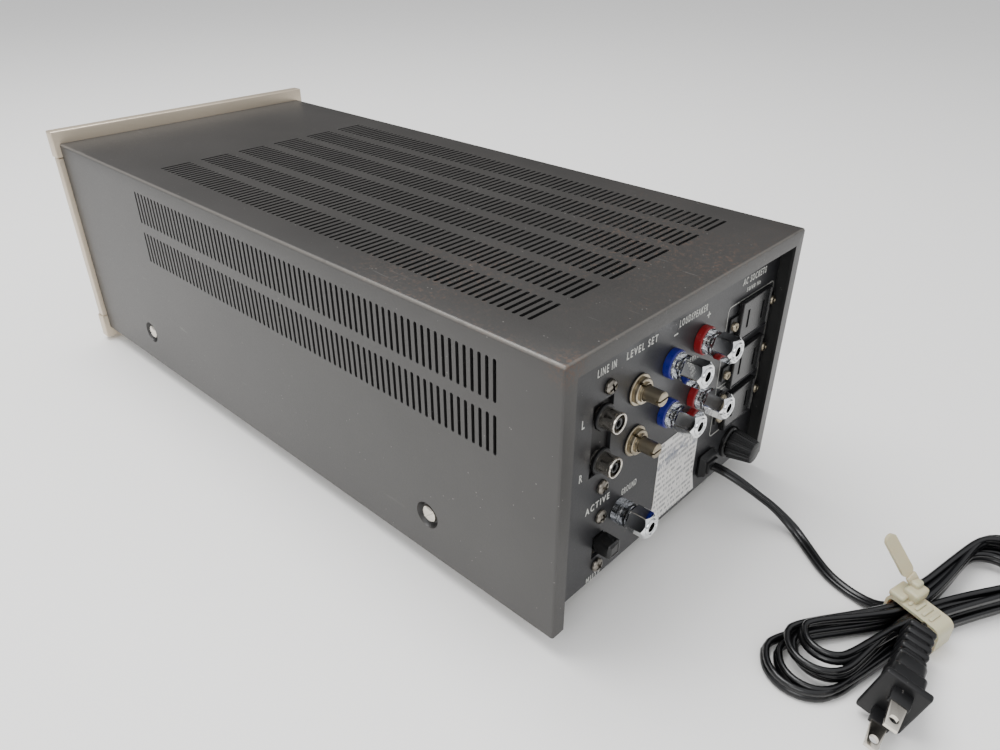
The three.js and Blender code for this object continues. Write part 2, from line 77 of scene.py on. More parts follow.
camera = shown("camera", bpy.data.cameras.new("camera"))
camera.data.lens = 28.6
camera.data.sensor_width = 36
camera.data.clip_start = 0.01
camera.location = (half + 0.162, rear + 0.125, top + 0.1187)
camera.rotation_euler = (math.radians(59.25), 0, math.radians(133.11))
bpy.context.scene.camera = camera
print("camera at", [round(value, 3) for value in camera.location])


# %% Floor and lamps
def plain_material(name, colour, roughness, metallic=0.0):
    material = bpy.data.materials.new(name)
    material.use_nodes = True
    shader = material.node_tree.nodes["Principled BSDF"]
    shader.inputs["Base Color"].default_value = (*colour, 1)
    shader.inputs["Roughness"].default_value = roughness
    shader.inputs["Metallic"].default_value = metallic
    return material


floor_bm = bmesh.new()
bmesh.ops.create_grid(floor_bm, x_segments=1, y_segments=1, size=5)
floor_mesh = bpy.data.meshes.new("floor")
floor_bm.to_mesh(floor_mesh)
floor_bm.free()
floor_mesh.materials.append(plain_material("floor_white", (0.93, 0.92, 0.90), 0.5))
shown("floor", floor_mesh)


def lamp(name, place, target, size, power):
    light = bpy.data.lights.new(name, "AREA")
    light.size = size
    light.energy = power
    holder = shown(name, light)
    holder.location = place
    holder.rotation_euler = (Vector(target) - Vector(place)).to_track_quat("-Z", "Y").to_euler()


lamp("key_lamp", (0.15, -0.35, 1.3), (0, 0.05, 0), 0.9, 22)
lamp("side_lamp", (1.3, 0.5, 1.0), (0, 0, 0.05), 0.8, 8)
print("floor and lamps ready")

# %% [markdown]
# ## Small steps in a node tree
# A shader is a long chain of small nodes. Set up one by one they hide the idea behind it, so each
# kind of step that comes back often has a function: noise, arithmetic, a ramp and a blend. Each
# takes the tree it works in, and so the sky, the materials and the node groups can all use them.


# %% Node helpers
def noise(tree, place, scale, detail=3.0, roughness=0.55):
    node = tree.nodes.new("ShaderNodeTexNoise")
    node.inputs["Detail"].default_value = detail
    node.inputs["Roughness"].default_value = roughness
    tree.links.new(place, node.inputs["Vector"])
    if isinstance(scale, (int, float)):
        node.inputs["Scale"].default_value = scale
    else:
        tree.links.new(scale, node.inputs["Scale"])
    return node.outputs["Fac"]


def maths(tree, kind, first, second=None, third=None):
    node = tree.nodes.new("ShaderNodeMath")
    node.operation = kind
    for slot_index, value in enumerate((first, second, third)):
        if isinstance(value, (int, float)):
            node.inputs[slot_index].default_value = value
        elif value is not None:
            tree.links.new(value, node.inputs[slot_index])
    return node.outputs[0]


def product(tree, *factors):
    """The factors multiplied together."""
    result = factors[0]
    for factor in factors[1:]:
        result = maths(tree, "MULTIPLY", result, factor)
    return result


def ramp(tree, value, low, high):
    """0 below low, 1 above high, and a straight line between them."""
    node = tree.nodes.new("ShaderNodeMapRange")
    node.inputs["From Min"].default_value = low
    node.inputs["From Max"].default_value = high
    tree.links.new(value, node.inputs["Value"])
    return node.outputs["Result"]


def stretched(tree, place, scale):
    node = tree.nodes.new("ShaderNodeMapping")
    node.inputs["Scale"].default_value = scale
    tree.links.new(place, node.inputs["Vector"])
    return node.outputs["Vector"]


def blend_colour(tree, fraction, first, second):
    node = tree.nodes.new("ShaderNodeMix")
    node.data_type = "RGBA"
    tree.links.new(fraction, node.inputs["Factor"])
    for label, value in (("A", first), ("B", second)):
        socket = next(s for s in node.inputs if s.name == label and s.type == "RGBA")
        if isinstance(value, tuple):
            socket.default_value = (*value, 1)
        else:
            tree.links.new(value, socket)
    return next(s for s in node.outputs if s.type == "RGBA")


print("node helpers ready")

# %% [markdown]
# ## The sky
# The sky lights the shadows and is what polished metal mirrors. It is pale, and it has one dark
# screen low down beyond the amplifier's front: without something dark to mirror, plated metal
# looks like chalk and black paint looks grey. The screen is a soft mask made from the direction
# alone, so no object has to stand in the scene for it.

# %% Sky
world = bpy.data.worlds.new("studio")
world.use_nodes = True
bpy.context.scene.world = world
sky = world.node_tree
direction = sky.nodes.new("ShaderNodeTexCoord").outputs["Generated"]
direction_parts = sky.nodes.new("ShaderNodeSeparateXYZ")
sky.links.new(direction, direction_parts.inputs[0])
height = direction_parts.outputs["Z"]
pale = sky.nodes.new("ShaderNodeValToRGB")
sky.links.new(height, pale.inputs[0])
horizon, zenith = pale.color_ramp.elements
horizon.position, zenith.position = 0.0, 0.7
horizon.color = (0.45, 0.46, 0.47, 1)
zenith.color = (0.95, 0.96, 0.98, 1)
towards_front = sky.nodes.new("ShaderNodeVectorMath")
towards_front.operation = "DOT_PRODUCT"
towards_front.inputs[1].default_value = (-0.73, -0.68, 0)
sky.links.new(direction, towards_front.inputs[0])
screen = product(sky, ramp(sky, towards_front.outputs["Value"], 0.0, 0.7), ramp(sky, height, 0.8, 0.6))
sky_colour = blend_colour(sky, screen, pale.outputs[0], (0.03, 0.03, 0.032))
sky.links.new(sky_colour, sky.nodes["Background"].inputs["Color"])
sky.nodes["Background"].inputs["Strength"].default_value = 1.25
print("sky ready")

# %% [markdown]
# ## Shared surface effects
# No real finish is one flat colour. Three small effects are used again and again: a fine grain
# for paint and moulded plastic, pale dust specks, and thin scratches. Each could be painted on
# a texture, but then it would need unwrapped meshes. Noise read at the object's own coordinates
# needs no unwrapping and keeps its real scale, so each effect is a node group built once.


# %% Build node groups
def effect(name, wanted, given):
    """A shader node group with its input and output sockets, ready to be filled."""
    group = bpy.data.node_groups.new(name, "ShaderNodeTree")
    for label, kind, value in wanted:
        socket = group.interface.new_socket(label, in_out="INPUT", socket_type=kind)
        if value is not None:
            socket.default_value = value
    for label in given:
        group.interface.new_socket(label, in_out="OUTPUT", socket_type="NodeSocketFloat")
    return group, group.nodes.new("NodeGroupInput"), group.nodes.new("NodeGroupOutput")


PLACE = ("Place", "NodeSocketVector", None)

grain_group, grain_in, grain_out = effect(
    "grain", [PLACE, ("Size", "NodeSocketFloat", 900.0)], ["Height", "Tone"])
grain_group.links.new(noise(grain_group, grain_in.outputs["Place"], grain_in.outputs["Size"]),
                      grain_out.inputs["Height"])
grain_group.links.new(noise(grain_group, grain_in.outputs["Place"], 18.0, 5.0),
                      grain_out.inputs["Tone"])

dust_group, dust_in, dust_out = effect(
    "dust", [PLACE, ("Amount", "NodeSocketFloat", 0.3)], ["Mask"])
dust_cells = dust_group.nodes.new("ShaderNodeTexVoronoi")
dust_cells.inputs["Scale"].default_value = 520
dust_group.links.new(dust_in.outputs["Place"], dust_cells.inputs["Vector"])
dust_spot = maths(dust_group, "LESS_THAN", dust_cells.outputs["Distance"], 0.15)
dust_pick = maths(dust_group, "GREATER_THAN",
                  noise(dust_group, dust_in.outputs["Place"], 190.0, 1.0), 0.65)
dust_group.links.new(product(dust_group, dust_spot, dust_pick, dust_in.outputs["Amount"]),
                     dust_out.inputs["Mask"])

scratch_group, scratch_in, scratch_out = effect(
    "scratches", [PLACE, ("Amount", "NodeSocketFloat", 0.3)], ["Mask"])
scratch_lines = noise(scratch_group, stretched(scratch_group, scratch_in.outputs["Place"],
                                               (900, 35, 160)), 1.0, 2.0)
scratch_areas = noise(scratch_group, scratch_in.outputs["Place"], 14.0, 2.0)
scratch_mask = product(scratch_group, ramp(scratch_group, scratch_lines, 0.70, 0.76),
                       ramp(scratch_group, scratch_areas, 0.52, 0.62), scratch_in.outputs["Amount"])
scratch_group.links.new(scratch_mask, scratch_out.inputs["Mask"])
print("effects:", [group.name for group in bpy.data.node_groups])


# %% Start a finish
def use(tree, group, place, **values):
    node = tree.nodes.new("ShaderNodeGroup")
    node.node_tree = group
    tree.links.new(place, node.inputs["Place"])
    for label, value in values.items():
        node.inputs[label].default_value = value
    return node.outputs


class Finish:
    """A material that starts with grain, a slow change of tone, and a little dust."""

    def __init__(self, name, colour, roughness, metallic=0.0, vary=0.12, grain=900.0, bump=0.05,
                 dust=0.25, rough_vary=0.08):
        self.material = plain_material(name, colour, roughness, metallic)
        self.tree = self.material.node_tree
        self.shader = self.tree.nodes["Principled BSDF"]
        self.place = self.tree.nodes.new("ShaderNodeTexCoord").outputs["Object"]
        surface = use(self.tree, grain_group, self.place, Size=grain)
        darker = tuple(value * (1 - vary) for value in colour)
        lighter = tuple(min(1, value * (1 + vary)) for value in colour)
        tone = ramp(self.tree, surface["Tone"], 0.3, 0.7)
        self.colour = blend_colour(self.tree, tone, darker, lighter)
        if dust:
            specks = use(self.tree, dust_group, self.place, Amount=dust)
            self.colour = blend_colour(self.tree, specks["Mask"], self.colour, (0.42, 0.40, 0.37))
        shine = self.tree.nodes.new("ShaderNodeMapRange")
        shine.inputs["To Min"].default_value = max(0.02, roughness - rough_vary)
        shine.inputs["To Max"].default_value = min(1, roughness + rough_vary)
        self.tree.links.new(surface["Height"], shine.inputs["Value"])
        self.roughness = shine.outputs["Result"]
        self.height = surface["Height"]
        self.bump = bump

    def lay(self, fraction, colour):
        """Lays a second colour over the finish where fraction is 1."""
        self.colour = blend_colour(self.tree, fraction, self.colour, colour)

    def done(self, **values):
        relief = self.tree.nodes.new("ShaderNodeBump")
        relief.inputs["Strength"].default_value = self.bump
        relief.inputs["Distance"].default_value = 0.2 * mm
        self.tree.links.new(self.height, relief.inputs["Height"])
        self.tree.links.new(relief.outputs["Normal"], self.shader.inputs["Normal"])
        self.tree.links.new(self.colour, self.shader.inputs["Base Color"])
        self.tree.links.new(self.roughness, self.shader.inputs["Roughness"])
        for label, value in values.items():
            socket_name = label.replace("_", " ").title().replace("Ior", "IOR")
            self.shader.inputs[socket_name].default_value = value
        return self.material


# %% [markdown]
# ## The plain finishes
# Most pieces need only the shared start: nickel, brass, zinc, chrome, moulded plastics, rubber
# and the parts inside. Their colour, gloss and grain differ, so a table of values says it all.

# %% Plain finishes
nickel = Finish("nickel_plate", (0.66, 0.62, 0.55), 0.2, 1.0, bump=0.004, dust=0.0,
                rough_vary=0.05).done()
chrome = Finish("chrome_plate", (0.78, 0.79, 0.80), 0.07, 1.0, vary=0.04, bump=0.004, dust=0.0,
                rough_vary=0.02).done()
brass = Finish("dull_brass", (0.40, 0.35, 0.26), 0.34, 1.0, vary=0.2, bump=0.02).done()
zinc = Finish("zinc_steel", (0.42, 0.41, 0.38), 0.42, 0.9, vary=0.15, bump=0.08).done()
screw_metal = Finish("screw_metal", (0.24, 0.22, 0.19), 0.3, 1.0, vary=0.25, bump=0.02,
                     dust=0.0).done()
black_gloss = Finish("black_moulding", (0.006, 0.006, 0.006), 0.22, vary=0.2, bump=0.01,
                     dust=0.15).done()
black_matt = Finish("black_matt_moulding", (0.006, 0.006, 0.0065), 0.4, vary=0.3, bump=0.03,
                    dust=0.2).done(specular_ior_level=0.35)
outlet_black = Finish("outlet_moulding", (0.012, 0.012, 0.0125), 0.24, vary=0.25, bump=0.006,
                      dust=0.0, rough_vary=0.03).done(specular_ior_level=0.4)
red = Finish("red_moulding", (0.26, 0.008, 0.011), 0.3, vary=0.1, bump=0.03).done()
blue = Finish("blue_moulding", (0.008, 0.012, 0.20), 0.3, vary=0.1, bump=0.03).done()
rubber = Finish("foot_rubber", (0.012, 0.012, 0.012), 0.7, vary=0.2, bump=0.1).done()
tie_cream = Finish("tie_nylon", (0.50, 0.43, 0.28), 0.42, vary=0.1, bump=0.08, dust=0.1).done(
    subsurface_weight=0.15)
cord_black = Finish("cord_jacket", (0.003, 0.003, 0.0035), 0.26, vary=0.2, bump=0.004,
                    dust=0.0, rough_vary=0.03).done()
ink = Finish("legend_ink", (0.62, 0.62, 0.58), 0.6, vary=0.15, bump=0.05, dust=0.0).done()
inlay = Finish("outline_ink", (0.40, 0.40, 0.37), 0.5, vary=0.2, bump=0.05, dust=0.0).done()
laminate = Finish("dark_laminate", (0.022, 0.021, 0.021), 0.55, vary=0.3, bump=0.1).done()
iron = Finish("core_iron", (0.035, 0.035, 0.038), 0.5, 0.3, vary=0.3, grain=400, bump=0.2).done()
sleeve = Finish("can_sleeve", (0.02, 0.05, 0.12), 0.35, vary=0.15, bump=0.03).done()
sink_black = Finish("black_anodised", (0.02, 0.02, 0.022), 0.38, 0.6, vary=0.2, bump=0.1).done()
board = Finish("circuit_board", (0.22, 0.17, 0.07), 0.5, vary=0.25, grain=500, bump=0.1).done()
lens_amber = Finish("lamp_lens", (0.55, 0.12, 0.02), 0.18, vary=0.1, bump=0.01).done()
print("plain finishes:", len(bpy.data.materials))

# %% [markdown]
# ## Modelling helpers
# Turned parts, blocks and pressed sheets make up nearly everything here. Each helper is a short
# run of bmesh operators, in millimetres, and `finish_piece` turns the result into an object that
# rides on a body of the solid model and stands for the plain nodes it replaces.


# %% Shapes from operators
def verts_in(result):
    """The vertices that an extrusion or a copy has made."""
    return [item for item in result["geom"] if isinstance(item, bmesh.types.BMVert)]


def edges_in(result):
    return [item for item in result["geom"] if isinstance(item, bmesh.types.BMEdge)]


def turned(profile, steps=32, closed=False):
    """Spins (radius, y) pairs round the y axis. A closed profile makes a ring."""
    bm = bmesh.new()
    points = [bm.verts.new((radius * mm, y * mm, 0)) for radius, y in profile]
    ends = points[1:] + points[:1] if closed else points[1:]
    edges = [bm.edges.new(pair) for pair in zip(points, ends)]
    bmesh.ops.spin(bm, geom=points + edges, cent=(0, 0, 0), axis=(0, 1, 0),
                   angle=2 * math.pi, steps=steps, use_merge=True)
    bmesh.ops.remove_doubles(bm, verts=bm.verts, dist=0.002 * mm)
    return bm


def block(size, place=(0, 0, 0), bevel=0.0, segments=2, bm=None):
    """A box with bevelled edges, alone or added to a shape."""
    bm = bm or bmesh.new()
    verts = bmesh.ops.create_cube(bm, size=1)["verts"]
    bmesh.ops.scale(bm, vec=Vector(size) * mm, verts=verts)
    bmesh.ops.translate(bm, vec=Vector(place) * mm, verts=verts)
    if bevel:
        edges = list({edge for vert in verts for edge in vert.link_edges})
        bmesh.ops.bevel(bm, geom=edges, offset=bevel * mm, segments=segments, profile=0.5,
                        affect="EDGES", material=-1, clamp_overlap=True)
    return bm


def rounded_ring(turn, size, corner, segments, wall, push):
    """A rectangle with round corners, inset to leave a ring, and the ring pushed into a solid."""
    bm = bmesh.new()
    bmesh.ops.create_grid(bm, x_segments=1, y_segments=1, size=0.5)
    bmesh.ops.transform(bm, matrix=turn, verts=bm.verts)
    bmesh.ops.scale(bm, vec=size, verts=bm.verts)
    bmesh.ops.bevel(bm, geom=bm.verts[:], offset=corner * mm, segments=segments, profile=0.5,
                    affect="VERTICES", material=-1)
    ring = bmesh.ops.inset_region(bm, faces=bm.faces[:], thickness=wall * mm, use_boundary=True,
                                  use_even_offset=True)["faces"]
    inner = [item for item in bm.faces if item not in ring]
    bmesh.ops.delete(bm, geom=inner, context="FACES")
    pushed = verts_in(bmesh.ops.extrude_face_region(bm, geom=bm.faces[:]))
    bmesh.ops.translate(bm, vec=Vector(push) * mm, verts=pushed)
    return bm


# %% Moving, joining and cutting
def moved(bm, place=(0, 0, 0), turn=None):
    """The shape turned about the origin, and then moved to its place."""
    if turn is not None:
        bmesh.ops.transform(bm, matrix=turn.to_4x4(), verts=bm.verts)
    bmesh.ops.translate(bm, vec=Vector(place), verts=bm.verts)
    return bm


def joined(*shapes):
    """Puts several bmeshes into the first one."""
    whole = shapes[0]
    for shape in shapes[1:]:
        mesh = bpy.data.meshes.new("part")
        shape.to_mesh(mesh)
        shape.free()
        whole.from_mesh(mesh)
        bpy.data.meshes.remove(mesh)
    return whole


def as_bmesh(thing):
    """The shape of an object once its modifiers or its curve are made real."""
    evaluated = thing.evaluated_get(bpy.context.evaluated_depsgraph_get())
    bm = bmesh.new()
    bm.from_mesh(evaluated.to_mesh())
    evaluated.to_mesh_clear()
    return bm


def bare_object(name, bm):
    """An object with no material, to put a modifier on or to cut with."""
    mesh = bpy.data.meshes.new(name)
    bmesh.ops.recalc_face_normals(bm, faces=bm.faces)
    bm.to_mesh(mesh)
    bm.free()
    return shown(name, mesh)


def cut_away(bm, *cutters):
    """The shape with the cutters taken out of it, by a Boolean modifier."""
    body = bare_object("body", bm)
    tools = [bare_object("tool", cutter) for cutter in cutters]
    for tool in tools:
        carve = body.modifiers.new("cut", "BOOLEAN")
        carve.operation = "DIFFERENCE"
        carve.solver = "EXACT"
        carve.object = tool
    result = as_bmesh(body)
    for shape in [body, *tools]:
        bpy.data.meshes.remove(shape.data)
    return result


# %% From a shape to a piece
def finish_piece(name, bm, material, stands_for=(), body=MAIN, smooth=35, normals=True):
    """Cleans and shades a shape, gives it its material and its body, and hides the nodes it replaces."""
    bmesh.ops.remove_doubles(bm, verts=bm.verts, dist=0.002 * mm)
    bmesh.ops.dissolve_degenerate(bm, edges=bm.edges, dist=0.001 * mm)
    if normals:
        bmesh.ops.recalc_face_normals(bm, faces=bm.faces)
    mesh = bpy.data.meshes.new(name)
    bm.to_mesh(mesh)
    bm.free()
    mesh.materials.append(material)
    mesh.shade_smooth()
    mesh.set_sharp_from_angle(angle=math.radians(smooth))
    piece = shown(name, mesh)
    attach(piece, body)
    if stands_for:
        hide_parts(*stands_for)
    return piece


def repaint(material, *nodes):
    """Gives carried-over nodes of the solid model a better finish."""
    for node in nodes:
        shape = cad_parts[node]
        shape.data.materials.clear()
        shape.data.materials.append(material)


def on_panel(node):
    """The spot on the rear panel's face that a node is centred on."""
    low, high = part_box(node)
    return Vector(((low.x + high.x) / 2, face, (low.z + high.z) / 2))


print("modelling helpers ready")

# %% [markdown]
# ## The mains lead
# The lead is a flat twin flex: two round cores side by side with a groove between them. It
# leaves the bushing level, drops to the floor, and runs into a hank of five and a half long
# turns that lie on edge in two loose layers, as a flat flex must when it is wound. Its free end
# comes back out through the tie to the plug. One smooth route carries all of it, and the
# section is swept along that route as a bevelled curve, then turned into a mesh.

# %% Route of the lead
flex_width = 5.2 * mm
flex_thickness = 2.6 * mm
LEAD = [  # x, distance behind the cover, height, all in millimetres
    (-36, -3.2, 23.7), (-36.1, 2, 23.6), (-36.6, 7.5, 22.4), (-38.2, 13.5, 19.6), (-41, 19.3, 15.3),
    (-43.9, 24.8, 10.9), (-45.5, 30.4, 6.6), (-45, 36.3, 3.4), (-42, 42.2, 1.7), (-37.8, 47.8, 1.5),
    (-33.6, 53.4, 1.5), (-30, 59.4, 1.5), (-27.6, 66, 1.5), (-26.2, 72.4, 1.7), (-25.0, 78.6, 3.0),
    (-24.6, 83.6, 5.4),
]
hank_middle = Vector((-27, rear / mm + 96, 0))
hank_turn = Matrix.Rotation(math.atan2(0.24, -0.97), 3, "Z")
TURNS = [  # the far lobe, the way back through the waist, the near lobe, the way out again
    ((12.6, 52, -3, 11), (1.4, 8.8), (11.6, -45.5, 11.4, 8.0), (6.3, 8.7)),
    ((13.6, 56, -4, 8), (-1.9, 3.3), (12.4, -50.6, 9.8, 3.2), (7.6, 3.3)),
    ((14.4, 58, -4.4, 3), (-5.2, 3.3), (14.2, -52.5, 12.0, 2.8), (10.8, 3.3)),
    ((12.4, 52, -3, 4.2), (1.4, 3.3), (10.4, -45, 9.8, 5.0), (4.4, 3.3)),
    ((10.6, 47, -2.4, 6), (-1.3, 8.7), (9.4, -41, 11.4, 9.8), (3.9, 8.8)),
]
last_far_lobe = (13.2, 55, -4.6, 10.4)


def lobe(radius, along, across, height, start, end, steps):
    """Points on the round end of a turn."""
    points = []
    for step in range(steps):
        angle = math.radians(start + (end - start) * step / (steps - 1))
        points.append(Vector((along + radius * math.cos(angle),
                              across + radius * math.sin(angle), height)))
    return points


def hank_points():
    """The wound part of the lead in the hank's own frame, from the tie to the plug's tail."""
    points = [Vector((-3.8, 8.8, 7.8)), Vector((2.5, 8.9, 9.1)), Vector((12, 9.0, 9.4))]
    for far, back, near, out in TURNS:
        points += lobe(*far, 92, -104, 9)
        points.append(Vector((0, *back)))
        points += lobe(*near, -92, -254, 8)
        points.append(Vector((0, *out)))
    points += lobe(*last_far_lobe, 92, -104, 9)
    points += [Vector((6, -4.8, 9.3)), Vector((-4, -4.0, 9.8)), Vector((-11.6, -5.3, 11.2))]
    points += [Vector((-15.8, -6.9, 11.6)), Vector((-21.4, -9.0, 11.9))]
    return points


def smooth_route(points, step):
    """A centripetal Catmull-Rom curve through the points, sampled about every step."""
    route = []
    padded = [points[0] * 2 - points[1], *points, points[-1] * 2 - points[-2]]
    for a, b, c, d in zip(padded, padded[1:], padded[2:], padded[3:]):
        knots = [0.0]
        for start, end in ((a, b), (b, c), (c, d)):
            knots.append(knots[-1] + math.sqrt((end - start).length))
        count = max(2, round((c - b).length / step))
        for sample in range(count):
            t = knots[1] + (knots[2] - knots[1]) * sample / count
            first = a.lerp(b, (t - knots[0]) / (knots[1] - knots[0]))
            second = b.lerp(c, (t - knots[1]) / (knots[2] - knots[1]))
            third = c.lerp(d, (t - knots[2]) / (knots[3] - knots[2]))
            early = first.lerp(second, (t - knots[0]) / (knots[2] - knots[0]))
            late = second.lerp(third, (t - knots[1]) / (knots[3] - knots[1]))
            route.append(early.lerp(late, (t - knots[1]) / (knots[2] - knots[1])))
    return route + [points[-1]]


lead_points = [Vector((x, rear / mm + behind, z)) for x, behind, z in LEAD]
wound_points = [hank_middle + hank_turn @ point for point in hank_points()]
route = [point * mm for point in smooth_route(lead_points + wound_points, 2.6)]
wound_from = len(smooth_route(lead_points, 2.6))


# %% Sweep the flex
def flex_section():
    """The figure-of-eight outline of twin flex, as points for one closed spline."""
    radius = flex_thickness / 2
    offset = (flex_width - flex_thickness) / 2
    points = []
    for side in (1, -1):
        for step in range(7):
            angle = math.radians(-126 + 42 * step) + (math.pi if side < 0 else 0)
            points.append((side * offset + radius * math.cos(angle), radius * math.sin(angle)))
        points.append((0, side * radius * 0.52))
    return points


def closed_line(name, points):
    curve = bpy.data.curves.new(name, "CURVE")
    spline = curve.splines.new("POLY")
    spline.points.add(len(points) - 1)
    for spot, (x, y) in zip(spline.points, points):
        spot.co = (x, y, 0, 1)
    spline.use_cyclic_u = True
    return shown(name, curve)


def swept(name, points, section, tilts):
    """A section swept along points as a mesh, its width level where the tilt is 0."""
    curve = bpy.data.curves.new(name, "CURVE")
    curve.dimensions = "3D"
    curve.twist_mode = "Z_UP"
    curve.bevel_mode = "OBJECT"
    curve.bevel_object = section
    curve.use_fill_caps = True
    spline = curve.splines.new("POLY")
    spline.points.add(len(points) - 1)
    for spot, point, tilt in zip(spline.points, points, tilts):
        spot.co = (*point, 1)
        spot.tilt = tilt
    bm = as_bmesh(shown(name, curve))
    bpy.data.curves.remove(curve)
    return bm


def turn_on_edge(index):
    """Level along the lead, on edge in the hank, with a slow change of about 30 mm between."""
    along = min(1, max(0, (index - wound_from + 2) / 12))
    eased = along * along * (3 - 2 * along)
    lean = 0.38 * math.sin(index * 0.037) * eased
    return math.radians(90) * eased + lean


section = closed_line("flex_section", flex_section())
flex = swept("flex", route, section, [turn_on_edge(index) for index in range(len(route))])
bpy.data.curves.remove(section.data)
cord = finish_piece("mains_flex", flex, cord_black, ["mains_cord", "cord_hank"],
                    smooth=60)
print("flex:", len(cord.data.polygons), "faces")

# %% [markdown]
# ## The plug
# A flat two-blade plug with a square flange: the flange keeps fingers off the blades, the grip
# behind it is stepped, and the tail is ribbed so that it can flex. A short sleeve covers the root
# of each blade. The solid model has plain blocks in the same place. Each part here is drawn along
# x with the flange's face at x = 0, and then turned the way the plug lies.

# %% Plug
plug_place = Vector((25.7 * mm, rear + 103 * mm, 13 * mm))
plug_turn = Euler((-0.257, -0.04, 0.114), "XYZ").to_matrix()
pin_offset = 6.35


def plug_body():
    flange = block((3, 16, 22), (-1.5, 0, 0), 0.9, 3)
    grip = block((9, 12, 16), (-7, 0, 0), 1.4, 3)
    shoulder = block((9, 11, 13.5), (-15, 0, 0), 2.4, 3)
    tail = bmesh.new()
    tail_length, rib_pitch = 21, 4.3
    for rib in range(5):
        block((3.1, 10.4, 9.4), (-21 - rib * rib_pitch, 0, 0), 1.3, 3, bm=tail)
    block((tail_length, 8.2, 7.4), (-19 - tail_length / 2, 0, 0), 1.6, 3, bm=tail)
    sleeves = [block((6.4, 7.0, 2.3), (3, 0, side * pin_offset), 0.4, 2) for side in (-1, 1)]
    return joined(flange, grip, shoulder, tail, *sleeves)


def blade(side):
    bare = block((18, 6.35, 1.5), (8, 0, side * pin_offset), 0.3, 2)
    for vert in bare.verts:
        if vert.co.x > 16.5 * mm:
            vert.co.y *= 0.72
    hole = turned([(0, -3), (1.6, -3), (1.6, 3), (0, 3)], 20)
    moved(hole, (13.2 * mm, 0, side * pin_offset * mm), Matrix.Rotation(math.pi / 2, 3, "X"))
    return cut_away(bare, hole)


body_piece = finish_piece("plug_moulding", moved(plug_body(), plug_place, plug_turn), black_matt,
                          ["mains_plug"])
blades = moved(joined(blade(-1), blade(1)), plug_place, plug_turn)
blades_piece = finish_piece("plug_blades", blades, nickel)
print("plug at", [round(value / mm) for value in plug_place])

# %% [markdown]
# ## The cable tie
# A releasable nylon tie holds the hank: a band round the waist of the bundle, a ratchet head with
# low bumps beside it, and a tongue that stands up. The band starts as one rectangle whose corners
# are bevelled round. An inset makes the ring, and an extrusion gives it its width.

# %% Cable tie
def tie_band():
    sideways = Matrix.Rotation(math.pi / 2, 4, "Y")
    band = rounded_ring(sideways, (1, 23.2 * mm, 12.9 * mm), 3.4, 6, 1.2, (10, 0, 0))
    return moved(band, (-7.3 * mm, 0.4 * mm, 6.8 * mm))


def tie_bumps():
    bm = bmesh.new()
    for bump in range(4):
        block((6.5, 1.5, 1.4), (-2.5, -5.5 + bump * 3.0, 13.4), 0.6, 2, bm=bm)
    block((9.6, 6.5, 2.6), (-2.4, 8.6, 13.9), 0.9, 3, bm=bm)
    block((8.6, 6.4, 4.6), (0.6, 5.2, 15.0), 1.1, 3, bm=bm)
    block((4.6, 4.4, 3.6), (2.0, 6.8, 17.4), 1.0, 3, bm=bm)
    return bm


def tie_tongue():
    bm = bmesh.new()
    block((5, 1.5, 4), (0, 0, 1), 0.5, 2, bm=bm)
    blade_part = bmesh.ops.create_circle(bm, cap_ends=True, segments=24, radius=2.8 * mm)["verts"]
    bmesh.ops.rotate(bm, cent=(0, 0, 0), matrix=Matrix.Rotation(math.pi / 2, 3, "X"),
                     verts=blade_part)
    for vert in blade_part:
        vert.co.z += (20.6 if vert.co.z > 0 else 5.4) * mm
    faces = [item for item in bm.faces if len(item.verts) == 24]
    back = verts_in(bmesh.ops.extrude_face_region(bm, geom=faces))
    bmesh.ops.translate(bm, vec=(0, 1.3 * mm, 0), verts=back)
    turn = Euler((-0.45, -0.4, 0), "XYZ").to_matrix()
    return moved(bm, (2.4 * mm, 8.0 * mm, 18.2 * mm), turn)


slanted = joined(tie_band(), tie_bumps())
for vert in slanted.verts:
    vert.co.x += 0.08 * vert.co.y  # the band crosses the bundle at a slant
tie = joined(slanted, tie_tongue())
moved(tie, hank_middle * mm, hank_turn)
tie_piece = finish_piece("tie_strap", tie, tie_cream, ["cord_tie"])
print("tie:", len(tie_piece.data.polygons), "faces")

# %% [markdown]
# ## The cover's paint
# Old satin paint is never even. This one has a brown bloom of rust through the vents and at one
# corner, bare metal along the bends and the rear edge, laid on lighter so that it is also a painted
# highlight there, painted shade on the walls of the screws' seats, thin scratches and pale dust.
# Where each of these sits follows from the shape, so the masks are worked out from the distance
# to the bends, with noise to break up their borders.

# %% Cover paint
def near_value(tree, value, target, reach):
    """1 where value is at target, falling to 0 at reach away from it."""
    away = maths(tree, "ABSOLUTE", maths(tree, "SUBTRACT", value, target))
    return ramp(tree, away, reach, 0.0)


